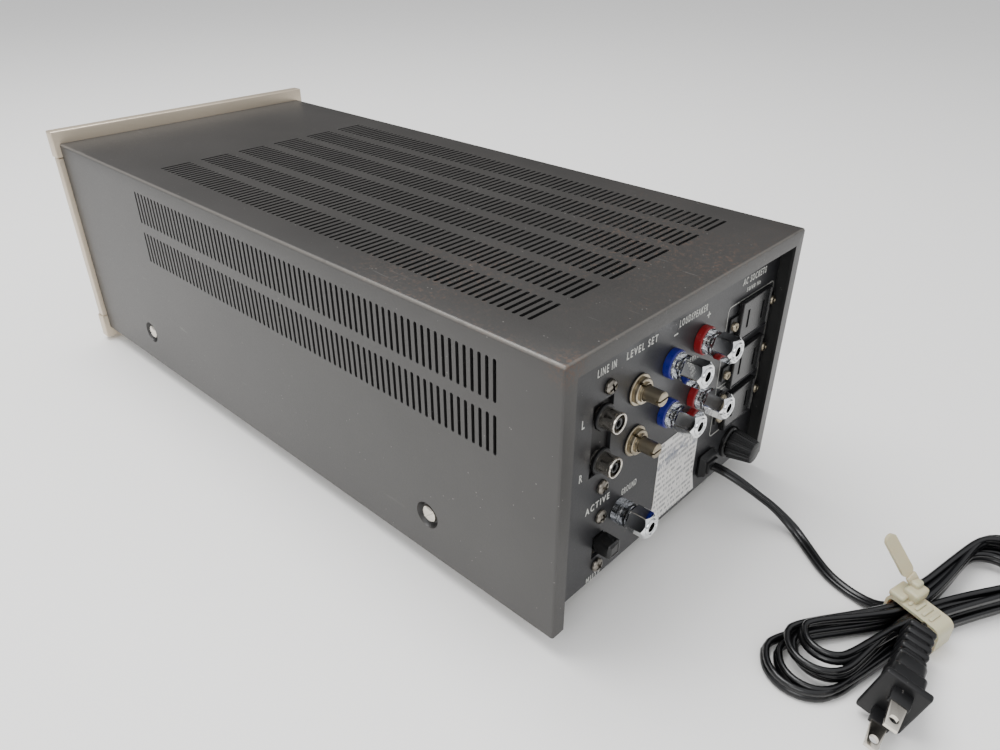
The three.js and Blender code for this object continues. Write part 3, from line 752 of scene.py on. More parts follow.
def cover_paint():
    paint = Finish("cover_paint", (0.036, 0.034, 0.032), 0.40, 0.0, vary=0.12, grain=1500,
                   bump=0.16, dust=0.25, rough_vary=0.07)
    tree = paint.tree
    split = tree.nodes.new("ShaderNodeSeparateXYZ")
    tree.links.new(paint.place, split.inputs[0])
    x, y, z = split.outputs
    across = maths(tree, "ABSOLUTE", x)
    fine = noise(tree, paint.place, 700.0, 4.0, 0.75)
    broad = noise(tree, paint.place, 11.0, 3.0)
    patches = noise(tree, paint.place, 60.0, 4.0)

    # Bare metal along the bends and the rear edge: partly real wear, and laid on lighter and metallic as
    # a painted highlight along the bends.
    bend = product(tree, near_value(tree, across, half, 1.2 * mm),
                   near_value(tree, z, top, 1.2 * mm))
    rim = product(tree, near_value(tree, y, rear, 1.1 * mm), near_value(tree, z, top, 0.7 * mm), 0.6)
    wear_and_bend_highlight = product(tree, maths(tree, "MAXIMUM", bend, rim), ramp(tree, patches, 0.16, 0.38))

    over_vents = product(tree, ramp(tree, broad, 0.44, 0.62), ramp(tree, y, rear - 0.20, rear - 0.04))
    by_bend = product(tree, near_value(tree, x, half, 9 * mm),
                      ramp(tree, y, rear - 0.13, rear - 0.02))
    bloom = product(tree, ramp(tree, fine, 0.53, 0.66), ramp(tree, z, top - 2.5 * mm, top - 0.5 * mm),
                    maths(tree, "MAXIMUM", over_vents, by_bend), 0.6)
    from_corner = tree.nodes.new("ShaderNodeVectorMath")
    from_corner.operation = "DISTANCE"
    from_corner.inputs[1].default_value = (half - 3 * mm, rear, top)
    tree.links.new(paint.place, from_corner.inputs[0])
    bare_corner = product(tree, ramp(tree, from_corner.outputs["Value"], 11 * mm, 2 * mm),
                          ramp(tree, fine, 0.46, 0.58), 0.7)
    rust = maths(tree, "MAXIMUM", bloom, bare_corner)

    # Painted shade: the walls of the pressed screw seats are darkened almost to black.
    painted_seat_shade = product(tree, ramp(tree, across, half - 0.2 * mm, half - 1.4 * mm),
                   ramp(tree, z, top - 4 * mm, top - 6 * mm),
                   ramp(tree, y, rear - 3 * mm, rear - 5 * mm), 0.85)
    scratches = use(tree, scratch_group, paint.place, Amount=0.22)

    paint.lay(rust, (0.095, 0.052, 0.032))
    # Painted shade in the screw seats.
    paint.lay(painted_seat_shade, (0.004, 0.004, 0.004))
    paint.lay(scratches["Mask"], (0.30, 0.29, 0.27))
    # Lighter, metallic colour along the bends and the rear edge: wear and painted highlight.
    paint.lay(product(tree, wear_and_bend_highlight, 0.75), (0.40, 0.37, 0.33))
    tree.links.new(product(tree, wear_and_bend_highlight, 0.7), paint.shader.inputs["Metallic"])
    paint.roughness = maths(tree, "ADD", paint.roughness, product(tree, rust, 0.25))
    return paint.done()


cover_finish = cover_paint()
# Near black: on the sheet's inner faces it is dark paint and painted shade, and on the vents' cut edges
# it is painted shade.
inner_paint_and_shade = Finish("inner_paint_and_rim_shade", (0.010, 0.010, 0.010), 0.6, vary=0.2).done()
panel_finish = Finish("panel_paint", (0.024, 0.024, 0.026), 0.40, vary=0.08, grain=1500, bump=0.16,
                      dust=0.35).done()

# %% [markdown]
# ## The cover
# The real cover is one sheet of steel, punched flat with over seven hundred vents and then
# folded twice along its length, with a lip turned in at the rear. Cutting that many windows out
# of a finished box with Booleans would be slow and leave poor faces. So it is made here as in
# the press shop: a flat grid whose lines fall between the vents, each vent cell swapped for one
# small perforated cell, the screw seats pressed in, and then every point folded into place. A
# Solidify modifier gives the sheet its thickness, and it is made real before the shading is set,
# so that the rims of the vents stay crisp.

# %% The flat sheet's lines
sheet_thickness = 1.2 * mm
bend_radius = 1.5 * mm
lip_radius = 1.0 * mm
lip_width = 6.5 * mm
vent_pitch = 3.519 * mm
vent_width = 1.6 * mm
vent_rows = 73
vent_margin = 0.95 * mm
first_vent = rear - 29.1 * mm
bend_length = bend_radius * math.pi / 2
side_length = top - bottom - bend_radius
top_length = 2 * (half - bend_radius)
lip_quarter = lip_radius * math.pi / 2
fold_start = rear - lip_radius
side_vents = [(25.2 * mm, 8.2 * mm), (46.9 * mm, 30.2 * mm)]
top_vents = [(2.5 - row) * 22.6 * mm for row in range(6)]
top_vent_length = 16.6 * mm
screw_seats = {place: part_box(f"cover_screw_{place}_right") for place in ("front", "rear")}
seat_radius = 6.2 * mm
seat_reach = 8.5 * mm


def around_bend(low_u, high_u, steps):
    return [low_u + (high_u - low_u) * step / steps for step in range(steps + 1)]


def sheet_columns():
    """Lines along the cover, measured round the section from the left side's lower edge."""
    right_side = side_length + 2 * bend_length + top_length
    total = right_side + side_length
    lines = {0.0, total}
    vents = []
    for deep, shallow in side_vents:
        spans = [(side_length + bend_radius - deep, side_length + bend_radius - shallow)]
        spans.append(tuple(total - value for value in reversed(spans[0])))
        vents += spans
    centre = side_length + bend_length + top_length / 2
    vents += [(centre + x - top_vent_length / 2, centre + x + top_vent_length / 2) for x in top_vents]
    vents = [(low - vent_margin, high + vent_margin) for low, high in vents]
    for low, high in vents:
        lines |= {low, high}
    lines |= set(around_bend(side_length, side_length + bend_length, 4))
    lines |= set(around_bend(right_side - bend_length, right_side, 4))
    for low, high in screw_seats.values():
        seat = (low.z + high.z) / 2 - bottom
        for edge in (seat - seat_reach, seat + seat_reach):
            lines |= {edge, total - edge}
    return sorted(lines), vents, total


def sheet_rows():
    """Lines across the cover, from the front to the end of the rear lip."""
    vent_lines = [first_vent + vent_pitch * (0.5 - row) for row in range(vent_rows + 1)]
    seat_low, seat_high = screw_seats["front"]
    seat = (seat_low.y + seat_high.y) / 2
    lines = [front, seat - seat_reach, seat + seat_reach, *reversed(vent_lines)]
    lines += around_bend(fold_start, fold_start + lip_quarter, 3)
    lines.append(fold_start + lip_quarter + lip_width - lip_radius)
    return lines, (vent_lines[-1], vent_lines[0])


columns, vent_columns, section_length = sheet_columns()
rows, vent_span = sheet_rows()
print("sheet:", len(columns), "by", len(rows), "lines,", len(vent_columns) * vent_rows, "vents")


# %% Punch the flat sheet
def flat_sheet():
    bm = bmesh.new()
    wide, deep = len(columns) - 1, len(rows) - 1
    bmesh.ops.create_grid(bm, x_segments=wide, y_segments=deep, size=0.5)
    for vert in bm.verts:
        vert.co.x = columns[round((vert.co.x + 0.5) * wide)]
        vert.co.y = rows[round((vert.co.y + 0.5) * deep)]
    return bm


def perforated_cell(length):
    """One pitch of sheet with a round-ended vent through it."""
    bm = bmesh.new()
    ring = bmesh.ops.create_circle(bm, segments=12, radius=vent_width / 2,
                                   matrix=Matrix.Rotation(math.radians(15), 4, "Z"))["verts"]
    for vert in ring:
        vert.co.x += math.copysign((length - vent_width) / 2, vert.co.x)
    frame_verts = bmesh.ops.create_grid(bm, x_segments=1, y_segments=1, size=0.5)["verts"]
    bmesh.ops.scale(bm, vec=(length + 2 * vent_margin, vent_pitch, 1), verts=frame_verts)
    bmesh.ops.delete(bm, geom=bm.faces[:], context="FACES_ONLY")
    bmesh.ops.triangle_fill(bm, edges=bm.edges[:], use_beauty=True)
    return bm


def punch_vents(bm):
    """Swaps every grid face inside a vent strip for a perforated cell."""
    strips = []
    for low, high in vent_columns:
        inside = [item for item in bm.faces
                  if low < item.calc_center_median().x < high
                  and vent_span[0] < item.calc_center_median().y < vent_span[1]]
        bmesh.ops.delete(bm, geom=inside, context="FACES_ONLY")
        cell = perforated_cell(high - low - 2 * vent_margin)
        first = cell.verts[:] + cell.edges[:] + cell.faces[:]
        for row in range(1, vent_rows):
            copy = verts_in(bmesh.ops.duplicate(cell, geom=first))
            bmesh.ops.translate(cell, vec=(0, -row * vent_pitch, 0), verts=copy)
        strips.append(moved(cell, ((low + high) / 2, first_vent, 0)))
    return joined(bm, *strips)


def press_seat(bm, u, v):
    """Presses the dished seat of one screw into the flat sheet."""
    inside = [item for item in bm.faces
              if abs(item.calc_center_median().x - u) < seat_reach
              and abs(item.calc_center_median().y - v) < seat_reach]
    rim = [edge for edge in {edge for item in inside for edge in item.edges}
           if sum(item in inside for item in edge.link_faces) == 1]
    bmesh.ops.delete(bm, geom=inside, context="FACES_ONLY")
    loose = [edge for edge in bm.edges if not edge.link_faces]
    bmesh.ops.delete(bm, geom=loose, context="EDGES")
    ring = bmesh.ops.create_circle(bm, segments=32, radius=seat_radius,
                                   matrix=Matrix.Translation((u, v, 0)))["verts"]
    edges = list({edge for vert in ring for edge in vert.link_edges})
    bmesh.ops.triangle_fill(bm, edges=rim + edges, use_beauty=True)
    for radius, depth in ((0.985, 0.35), (0.93, 0.9), (0.76, 2.25), (0.70, 2.4), (0.38, 2.4)):
        made = bmesh.ops.extrude_edge_only(bm, edges=edges)
        edges = edges_in(made)
        for vert in verts_in(made):
            offset = Vector((vert.co.x - u, vert.co.y - v, 0)).normalized()
            vert.co = Vector((u, v, -depth * mm)) + offset * seat_radius * radius


def punched_sheet():
    bm = punch_vents(flat_sheet())
    bmesh.ops.remove_doubles(bm, verts=bm.verts, dist=0.01 * mm)
    for low, high in screw_seats.values():
        u = (low.z + high.z) / 2 - bottom
        v = (low.y + high.y) / 2
        press_seat(bm, u, v)
        press_seat(bm, section_length - u, v)
    return bm


# %% Fold the sheet
def folded(place):
    """Where a point of the flat sheet lies once the sides and the rear lip are bent."""
    over = place.y - fold_start
    inset, y = 0.0, place.y
    if over > 0:
        angle = min(over / lip_radius, math.pi / 2)
        inset = lip_radius * (1 - math.cos(angle)) + max(0, over - lip_quarter)
        y = fold_start + lip_radius * math.sin(angle)
    inset -= place.z
    from_side = min(place.x, section_length - place.x)
    side = -1 if place.x < section_length / 2 else 1
    if from_side <= side_length:
        return Vector((side * (half - inset), y, min(bottom + from_side, top - max(inset, bend_radius))))
    if from_side < side_length + bend_length:
        angle = (from_side - side_length) / bend_radius
        radius = max(bend_radius - inset, 0)
        centre = max(bend_radius, inset)
        return Vector((side * (half - centre + radius * math.cos(angle)), y,
                       top - centre + radius * math.sin(angle)))
    across = from_side - side_length - bend_length
    return Vector((side * min(half - bend_radius - across, half - max(inset, bend_radius)), y,
                   top - inset))


def thickened(bm):
    """The sheet with its thickness added inwards, new faces in the second material."""
    mesh = bpy.data.meshes.new("sheet")
    bm.to_mesh(mesh)
    bm.free()
    mesh.materials.append(cover_finish)
    mesh.materials.append(inner_paint_and_shade)
    sheet = shown("sheet", mesh)
    wall = sheet.modifiers.new("wall", "SOLIDIFY")
    wall.thickness = sheet_thickness
    wall.offset = -1
    wall.material_offset = 1
    # The vents' cut edges get the near-black inner material too, as painted shade in the vents.
    wall.material_offset_rim = 1
    result = as_bmesh(sheet)
    bpy.data.meshes.remove(mesh)
    return result


def build_cover():
    bm = punched_sheet()
    for vert in bm.verts:
        vert.co = folded(vert.co)
    bmesh.ops.remove_doubles(bm, verts=bm.verts, dist=0.01 * mm)
    bmesh.ops.dissolve_degenerate(bm, edges=bm.edges, dist=0.005 * mm)
    bmesh.ops.recalc_face_normals(bm, faces=bm.faces)
    roof = max(bm.faces, key=lambda item: item.calc_center_median().z)
    if roof.normal.z < 0:
        bmesh.ops.reverse_faces(bm, faces=bm.faces[:])
    cover = finish_piece("cover_shell", thickened(bm), cover_finish, ["cover"],
                         smooth=30)
    cover.data.materials.append(inner_paint_and_shade)
    return cover


cover_shell = build_cover()
print("cover:", len(cover_shell.data.polygons), "faces")


# %% [markdown]
# ## Screws and feet
# The cover hangs on four big slotted screws in pressed seats. The panel's screws are smaller and
# have cross recesses. A head is turned from its profile, and a Boolean cuts the slots. The
# rubber feet are turned too, with a soft lower edge.

# %% Screws and feet
def slotted_head(radius, height, slot_width, tilt):
    head = turned([(0, -4), (radius * 0.4, -4), (radius * 0.4, 0), (radius, 0), (radius, 0.35),
                   (radius * 0.93, height * 0.62), (radius * 0.72, height * 0.9),
                   (radius * 0.4, height), (0, height)], 32)
    groove = block((radius * 3, 1.4, slot_width), (0, height - 0.1, 0))
    moved(groove, turn=Matrix.Rotation(math.radians(tilt), 3, "Y"))
    return cut_away(head, groove)


def cover_screws():
    tilts = {"front": 25, "rear": 42}
    for place, (low, high) in screw_seats.items():
        for name, side in (("left", -1), ("right", 1)):
            head = slotted_head(4.0, 2.0, 0.9, tilts[place])
            turn = Matrix.Rotation(-side * math.pi / 2, 3, "Z")
            seat = Vector((side * (half - 2.1 * mm), (low.y + high.y) / 2, (low.z + high.z) / 2))
            node = f"cover_screw_{place}_{name}"
            finish_piece(f"round_screw_{place}_{name}", moved(head, seat, turn), nickel, [node])


def cross_head(name, node, tilt):
    head = turned([(0, -4), (1.4, -4), (1.4, 0.3), (3.0, 0.3), (3.0, 0.9), (2.75, 1.5),
                   (2.2, 1.95), (1.2, 2.15), (0, 2.2)], 28)
    bars = [block((4.0, 2.4, 1.0), (0, 1.9, 0)), block((1.0, 2.4, 4.0), (0, 1.9, 0))]
    for bar in bars:
        moved(bar, turn=Matrix.Rotation(math.radians(tilt), 3, "Y"))
    head = cut_away(head, *bars)
    finish_piece(name, moved(head, on_panel(node)), screw_metal, [node])


cover_screws()
cross_head("cross_screw_input_top", "input_screw_top", 20)
cross_head("cross_screw_input_bottom", "input_screw_bottom", 48)
cross_head("cross_screw_mode_top", "mode_screw_top", 8)
cross_head("cross_screw_mode_bottom", "mode_screw_bottom", 35)

for end in ("front", "rear"):
    for side_name in ("left", "right"):
        low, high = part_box(f"foot_{end}_{side_name}")
        foot = turned([(0, 0.4), (5.5, 0.4), (6, 0), (7, 0), (7.7, 0.5), (8.1, 1.4), (8.9, 8.4),
                       (8.7, 9.1), (0, 9.1)], 32)
        spot = Vector(((low.x + high.x) / 2, (low.y + high.y) / 2, 0))
        moved(foot, spot, Matrix.Rotation(math.pi / 2, 3, "X"))
        finish_piece(f"rubber_foot_{end}_{side_name}", foot, rubber, [f"foot_{end}_{side_name}"])
print("screws and feet done")

# %% [markdown]
# ## The front frame
# The pale frame round the front is made of two thick bars, top and bottom, with slimmer rails
# between them, all in champagne-coloured aluminium. Its edges catch the light, so each bar is a
# block with a small bevel. The rails stop just short of the bars, which leaves the fine joint
# lines that show at the corners. The front panel, its button ring and lamp ring are guesses.

# %% Front frame
champagne = Finish("champagne_metal", (0.60, 0.515, 0.40), 0.36, 0.6, vary=0.06, grain=700,
                   bump=0.08, dust=0.15)
champagne_finish = champagne.done()
bezel_low, bezel_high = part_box("front_bezel")
bar_height = 15
rail_width = 9
rail_back = 0.6
bezel_width = (bezel_high.x - bezel_low.x) / mm
bezel_deep = (bezel_high.y - bezel_low.y) / mm
bezel_tall = (bezel_high.z - bezel_low.z) / mm
bezel_middle = (bezel_low + bezel_high) / 2


def front_frame():
    bm = bmesh.new()
    for end in (-1, 1):
        lift = end * (bezel_tall - bar_height) / 2
        block((bezel_width, bezel_deep, bar_height), (0, 0, lift), 0.7, 3, bm=bm)
        sideways = end * (bezel_width / 2 - rail_back - rail_width / 2)
        rail_length = bezel_tall - 2 * bar_height - 0.5
        block((rail_width, bezel_deep - 1, rail_length), (sideways, 0.5, 0), 0.45, 2, bm=bm)
    return moved(bm, bezel_middle)


finish_piece("front_frame", front_frame(), champagne_finish, ["front_bezel"])


def trim_ring(name, node, inner, outer):
    low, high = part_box(node)
    panel_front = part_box("front_panel")[0].y
    ring = turned([(inner, 0.6), (inner, -0.7), (inner + 0.4, -1.1), (outer - 0.4, -1.1),
                   (outer, -0.7), (outer, 0)], 40, closed=True)
    spot = Vector(((low.x + high.x) / 2, panel_front, (low.z + high.z) / 2))
    finish_piece(name, moved(ring, spot), nickel)


trim_ring("button_ring", "power_button", 6.5, 8.4)
trim_ring("lamp_ring", "pilot_lens", 4.0, 5.4)


def power_cap():
    low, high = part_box("power_button")
    radius, length = (high.x - low.x) / 2 / mm, (high.y - low.y) / mm
    cap = turned([(0, 0.5), (radius * 0.72, 0.5), (radius * 0.82, 0.1), (radius - 0.5, 0),
                  (radius - 0.1, 0.3), (radius, 0.9), (radius, length), (0, length)], 40)
    spot = Vector(((low.x + high.x) / 2, low.y, (low.z + high.z) / 2))
    return finish_piece("power_cap", moved(cap, spot), champagne_finish, ["power_button"],
                        body="power_button")


power_cap()
print("front done")

# %% [markdown]
# ## The rear panel and its sockets
# The panel itself is right as it is in the solid model, a plate with windows, and only needs its
# paint. The phono sockets are nickel sleeves with a rolled mouth, a dark insulator inside and a
# fibre washer behind. Turned profiles with a hollow middle make them in one go each.

# %% Panel paint and input sockets
repaint(panel_finish, "rear_panel", "front_panel")
repaint(laminate, "input_plate")

JACKS = ("left", "right")
for name in JACKS:
    node = f"input_jack_{name}"
    sleeve_ring = turned([(3.35, -1), (4.0, -1), (4.0, 5.6), (4.15, 5.9), (4.15, 7.1), (3.95, 7.5),
                          (3.6, 7.5), (3.35, 7.2), (3.35, 5.8)], 40, closed=True)
    finish_piece(f"socket_sleeve_{name}", moved(sleeve_ring, on_panel(node)), nickel, [node])
    insulator = turned([(0, 1.0), (1.15, 1.0), (1.15, 6.6), (1.5, 6.9), (2.0, 6.9), (2.2, 6.4),
                        (2.2, 4.6), (3.3, 4.6), (3.3, 1.0), (3.3, -1), (0, -1)], 32)
    finish_piece(f"socket_core_{name}", moved(insulator, on_panel(node)), black_gloss)
    washer = turned([(4.05, 0.1), (5.4, 0.1), (5.4, 1.1), (5.1, 1.5), (4.05, 1.5)], 40, closed=True)
    finish_piece(f"socket_washer_{name}", moved(washer, on_panel(node)), black_matt)
print("input sockets done")

# %% [markdown]
# ## The level controls
# Each control stands in a thin washer with a plated nut, and its shaft ends in a screwdriver
# slot. The nut is round with two notches, so a turned ring and one cut do for it.

# %% Level controls
for name in JACKS:
    node = f"level_pot_{name}"
    washer = turned([(3.6, 0.3), (6.2, 0.3), (6.5, 0.5), (6.5, 0.9), (6.3, 1.15), (3.6, 1.15)], 44,
                    closed=True)
    nut = turned([(3.5, 1.0), (5.0, 1.0), (5.3, 1.25), (5.3, 2.7), (5.0, 3.0), (4.0, 3.0),
                  (3.9, 3.9), (3.5, 3.9)], 44, closed=True)
    notch = block((1.3, 3, 16), (0, 2.6, 0))
    moved(notch, turn=Matrix.Rotation(math.radians(30), 3, "Y"))
    back = turned([(0, -14), (8, -14), (8, -1.9), (3.6, -1.9), (3.6, 0.4), (3.4, 0.4), (3.4, -1.5),
                   (0, -1.5)], 32)
    control = joined(washer, cut_away(nut, notch), back)
    finish_piece(f"control_{name}", moved(control, on_panel(node)), brass, [node])
    shaft = turned([(0, -1.3), (3.0, -1.3), (3.0, 10.6), (2.6, 11.1), (0, 11.1)], 36)
    groove = block((8, 3.4, 0.9), (0, 11.1, 0))
    shaft = cut_away(shaft, groove)
    finish_piece(f"control_shaft_{name}", moved(shaft, on_panel(f"level_shaft_{name}")), brass,
                 [f"level_shaft_{name}"], body=f"level_shaft_{name}")
print("level controls done")

# %% [markdown]
# ## The speaker posts
# A post has a coloured collar against the panel, a clear neck, and a plated hexagonal cap with a
# bright rim round its hole. The cap turns, so it rides on a body of its own, and the collar and
# neck stay with the panel. The neck is real glass in the shader's terms, clear and a little
# rough. The earth post is smoked instead of coloured. A cap is a prism spun in six steps, and a
# Boolean turns its far corners down to a cone, as a lathe would.

# %% Speaker posts
def clear_moulding(name, colour):
    """Clear plastic with a faint haze."""
    material = plain_material(name, colour, 0.1)
    tree = material.node_tree
    shader = tree.nodes["Principled BSDF"]
    shader.inputs["Transmission Weight"].default_value = 1.0
    shader.inputs["IOR"].default_value = 1.49
    place = tree.nodes.new("ShaderNodeTexCoord").outputs["Object"]
    haze = ramp(tree, noise(tree, place, 500.0), 0.2, 0.9)
    tree.links.new(product(tree, haze, 0.18), shader.inputs["Roughness"])
    return material


clear = clear_moulding("clear_moulding", (0.52, 0.54, 0.57))
smoke = clear_moulding("smoked_moulding", (0.22, 0.23, 0.25))

POSTS = {"left_minus": blue, "left_plus": red, "right_minus": blue, "right_plus": red,
         "earth": smoke}


def hexagon_cap():
    """A six-sided cap, its far corners turned down to a cone, with a ring round its bore."""
    cap = turned([(0, 7.4), (5.3, 7.4), (5.8, 7.9), (5.8, 16.1), (0, 16.1)], 6)
    flats = [edge for edge in cap.edges
             if abs(edge.verts[0].co.y - edge.verts[1].co.y) > 5 * mm
             and Vector((edge.verts[0].co.x, edge.verts[0].co.z)).length > 4 * mm]
    bmesh.ops.bevel(cap, geom=flats, offset=0.25 * mm, segments=2, profile=0.5, affect="EDGES",
                    material=-1)
    cone = turned([(4.5, 16.4), (6.3, 14.2), (8, 14.2), (8, 18), (4.5, 18)], 48, closed=True)
    bore = turned([(0, 5.0), (2.1, 5.0), (2.1, 18), (0, 18)], 28)
    rim = turned([(2.1, 14.5), (3.9, 14.5), (3.9, 16.3), (3.6, 16.7), (3.0, 16.7), (2.8, 16.3),
                  (2.1, 16.2)], 36, closed=True)
    return joined(cut_away(cap, cone, bore), rim)


for name, colour in POSTS.items():
    base = f"post_base_{name}"
    spot = on_panel(base)
    collar_radius = 5.2 if name == "earth" else 6.1
    collar = turned([(1.8, 0.3), (collar_radius, 0.3), (collar_radius, 3.0),
                     (collar_radius - 0.3, 3.4), (1.8, 3.4)], 40, closed=True)
    finish_piece(f"post_collar_{name}", moved(collar, spot), colour, [base])
    neck = turned([(2.4, 3.45), (5.4, 3.45), (5.5, 3.9), (5.1, 4.8), (5.2, 6.9), (4.9, 7.2),
                   (2.4, 7.2)], 40, closed=True)
    finish_piece(f"post_neck_{name}", moved(neck, spot), smoke if name == "earth" else clear)
    stud = turned([(0, 0.4), (1.75, 0.4), (1.75, 10.0), (0, 10.0)], 20)
    finish_piece(f"post_stud_{name}", moved(stud, spot), nickel)
    node = f"post_cap_{name}"
    finish_piece(f"hex_cap_{name}", moved(hexagon_cap(), on_panel(node)), chrome, [node],
                 body=node, smooth=14)
print("posts done")

# %% [markdown]
# ## The mains outlets
# Three two-slot outlets stand proud of the panel, each moulded with a thin raised rim and held
# by two tubular rivets through its ears. The block is bevelled, an inset face becomes the sunk
# field, and a Boolean cuts the two slots deep enough to look black.

# %% Outlets
OUTLETS = ("mains_outlet_1", "mains_outlet_2", "mains_outlet_3")
slot_spacing = 12.7


def outlet_block():
    body = block((25.5, 2.6, 18.5), (0, 1.5, 0), 0.5, 2)
    front_face = max(body.faces, key=lambda item: (item.normal.y, item.calc_area()))
    bmesh.ops.inset_region(body, faces=[front_face], thickness=0.7 * mm)
    bmesh.ops.translate(body, vec=(0, -0.45 * mm, 0), verts=front_face.verts[:])
    slots = [block((1.8, 12, 8.5), (side * slot_spacing / 2, 0, 0)) for side in (-1, 1)]
    return cut_away(body, *slots)


def rivet():
    return turned([(0.9, 0.2), (0.9, 1.5), (1.3, 1.9), (1.8, 1.7), (2.1, 1.2), (2.1, 0.2)], 24,
                  closed=True)


for index, node in enumerate(OUTLETS, start=1):
    spot = on_panel(node)
    finish_piece(f"outlet_face_{index}", moved(outlet_block(), spot), outlet_black, [node])
    ears = block((38, 0.9, 7), (0, 0.65, 0), 0.3, 2)
    well = block((22, 6, 15), (0, -3.4, 0))
    finish_piece(f"outlet_ears_{index}", moved(joined(ears, well), spot), black_matt)
    studs = joined(*[moved(rivet(), (side * 16.4 * mm, 0.9 * mm, -side * 0.6 * mm))
                     for side in (-1, 1)])
    finish_piece(f"outlet_rivets_{index}", moved(studs, spot), brass)
print("outlets done")

# %% [markdown]
# ## Fuse, bushing and slide switch
# The fuse cap is a fluted taper: a circle whose points step in and out makes the flutes, and
# each extrusion narrows it. The bushing that grips the lead is a block with a tapered nose.
# The switch lever is a bevelled block with a hollowed end.

# %% Fuse holder and cap
def fluted_cap():
    bm = bmesh.new()
    flutes = 22
    ring = bmesh.ops.create_circle(bm, cap_ends=False, segments=flutes * 4, radius=7.3 * mm)["verts"]
    bmesh.ops.rotate(bm, cent=(0, 0, 0), matrix=Matrix.Rotation(math.pi / 2, 3, "X"), verts=ring)
    for index, vert in enumerate(ring):
        if index % 4 in (0, 1):
            vert.co *= 0.93
    bottom_edges = list({edge for vert in ring for edge in vert.link_edges})
    edges = bottom_edges
    height = 2.95
    bmesh.ops.translate(bm, vec=(0, height * mm, 0), verts=ring)
    for level, scale in ((4.4, 0.985), (5.0, 0.97), (13.6, 0.80), (14.2, 0.965), (14.4, 0.94)):
        made = bmesh.ops.extrude_edge_only(bm, edges=edges)
        verts, edges = verts_in(made), edges_in(made)
        bmesh.ops.translate(bm, vec=(0, (level - height) * mm, 0), verts=verts)
        bmesh.ops.scale(bm, vec=(scale, 1, scale), verts=verts)
        height = level
    bmesh.ops.contextual_create(bm, geom=edges)
    bmesh.ops.contextual_create(bm, geom=bottom_edges)
    return bm


fuse_spot = on_panel("fuse_cap")
finish_piece("fuse_grip", moved(fluted_cap(), fuse_spot), black_matt, ["fuse_cap"],
             body="fuse_cap")
collar = turned([(3.4, 0.3), (8.0, 0.3), (8.0, 1.6), (7.6, 2.1), (7.0, 2.3), (6.4, 2.75),
                 (3.4, 2.75)], 40, closed=True)
tube = turned([(0, -32), (6.2, -32), (6.2, 0.35), (0, 0.35)], 24)
finish_piece("fuse_collar", moved(joined(collar, tube), fuse_spot), black_gloss, ["fuse_holder"])


# %% Bushing and slide lever
def bushing():
    nose = block((12, 4.0, 12), (0, 2.2, 0), 1.2, 3)
    for vert in nose.verts:
        if vert.co.y > 3 * mm:
            vert.co.x *= 0.86
            vert.co.z *= 0.86
    throat = block((8.4, 1.6, 6.0), (0, 4.6, 0), 0.7, 2)
    inner = block((10, 16, 9), (0, -7.8, 0), 0.6, 1)
    return joined(nose, throat, inner)


finish_piece("lead_bushing", moved(bushing(), on_panel("cord_bushing")), black_matt,
             ["cord_bushing"])


def lever_knob():
    knob = block((7.2, 8.3, 7.0), (0, 4.5, 0), 1.3, 4)
    end_face = max(knob.faces, key=lambda item: (round(item.normal.y, 2), item.calc_area()))
    bmesh.ops.inset_region(knob, faces=[end_face], thickness=0.4 * mm)
    bmesh.ops.translate(knob, vec=(0, -0.3 * mm, 0), verts=end_face.verts[:])
    stem = block((5.8, 6.6, 5.4), (0, -2.4, 0))
    return joined(knob, stem)


finish_piece("slide_lever", moved(lever_knob(), on_panel("mode_lever")), black_gloss,
             ["mode_lever"], body="mode_lever")
print("fuse, bushing and lever done")

# %% [markdown]
# ## The rating label
# A thin foil label, wider along its foot. The real one is covered in small print, which is left
# out: short grey bars in rows stand for it, made from noise stepped along the height, so nothing
# can be read. The outline is a grid of two faces, and the lower one is widened.


# %% Label
label_low, label_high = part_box("rating_label")
label_middle = (label_low + label_high) / 2
line_pitch = 2.9 * mm
print_margin = 3.5 * mm
strip_height = 11 * mm  # of the wider strip along the foot
strip_over = 3 * mm  # how far it sticks out on each side


def label_foil():
    foil = Finish("label_foil", (0.86, 0.84, 0.81), 0.38, 0.1, vary=0.08, grain=700, bump=0.12,
                  dust=0.0)
    tree = foil.tree
    split = tree.nodes.new("ShaderNodeSeparateXYZ")
    tree.links.new(foil.place, split.inputs[0])
    x, _, z = split.outputs
    line = maths(tree, "DIVIDE", z, line_pitch)
    in_line = maths(tree, "LESS_THAN", maths(tree, "FRACT", line), 0.5)
    along = tree.nodes.new("ShaderNodeCombineXYZ")
    tree.links.new(product(tree, x, 900), along.inputs["X"])
    tree.links.new(product(tree, maths(tree, "FLOOR", line), 7.3), along.inputs["Y"])
    in_word = maths(tree, "GREATER_THAN", noise(tree, along.outputs["Vector"], 1.0, 1.0), 0.47)
    away = maths(tree, "ABSOLUTE", maths(tree, "SUBTRACT", x, label_middle.x))
    in_margin = maths(tree, "LESS_THAN", away, (label_high.x - label_low.x) / 2 - print_margin)
    foil.lay(product(tree, in_line, in_word, in_margin, 0.6), (0.10, 0.10, 0.12))
    band = near_value(tree, z, label_high.z - 10 * mm, 5.5 * mm)
    smudge = ramp(tree, noise(tree, foil.place, 330.0, 2.0), 0.44, 0.56)
    foil.lay(product(tree, band, smudge, 0.8), (0.13, 0.15, 0.22))
    return foil.done()


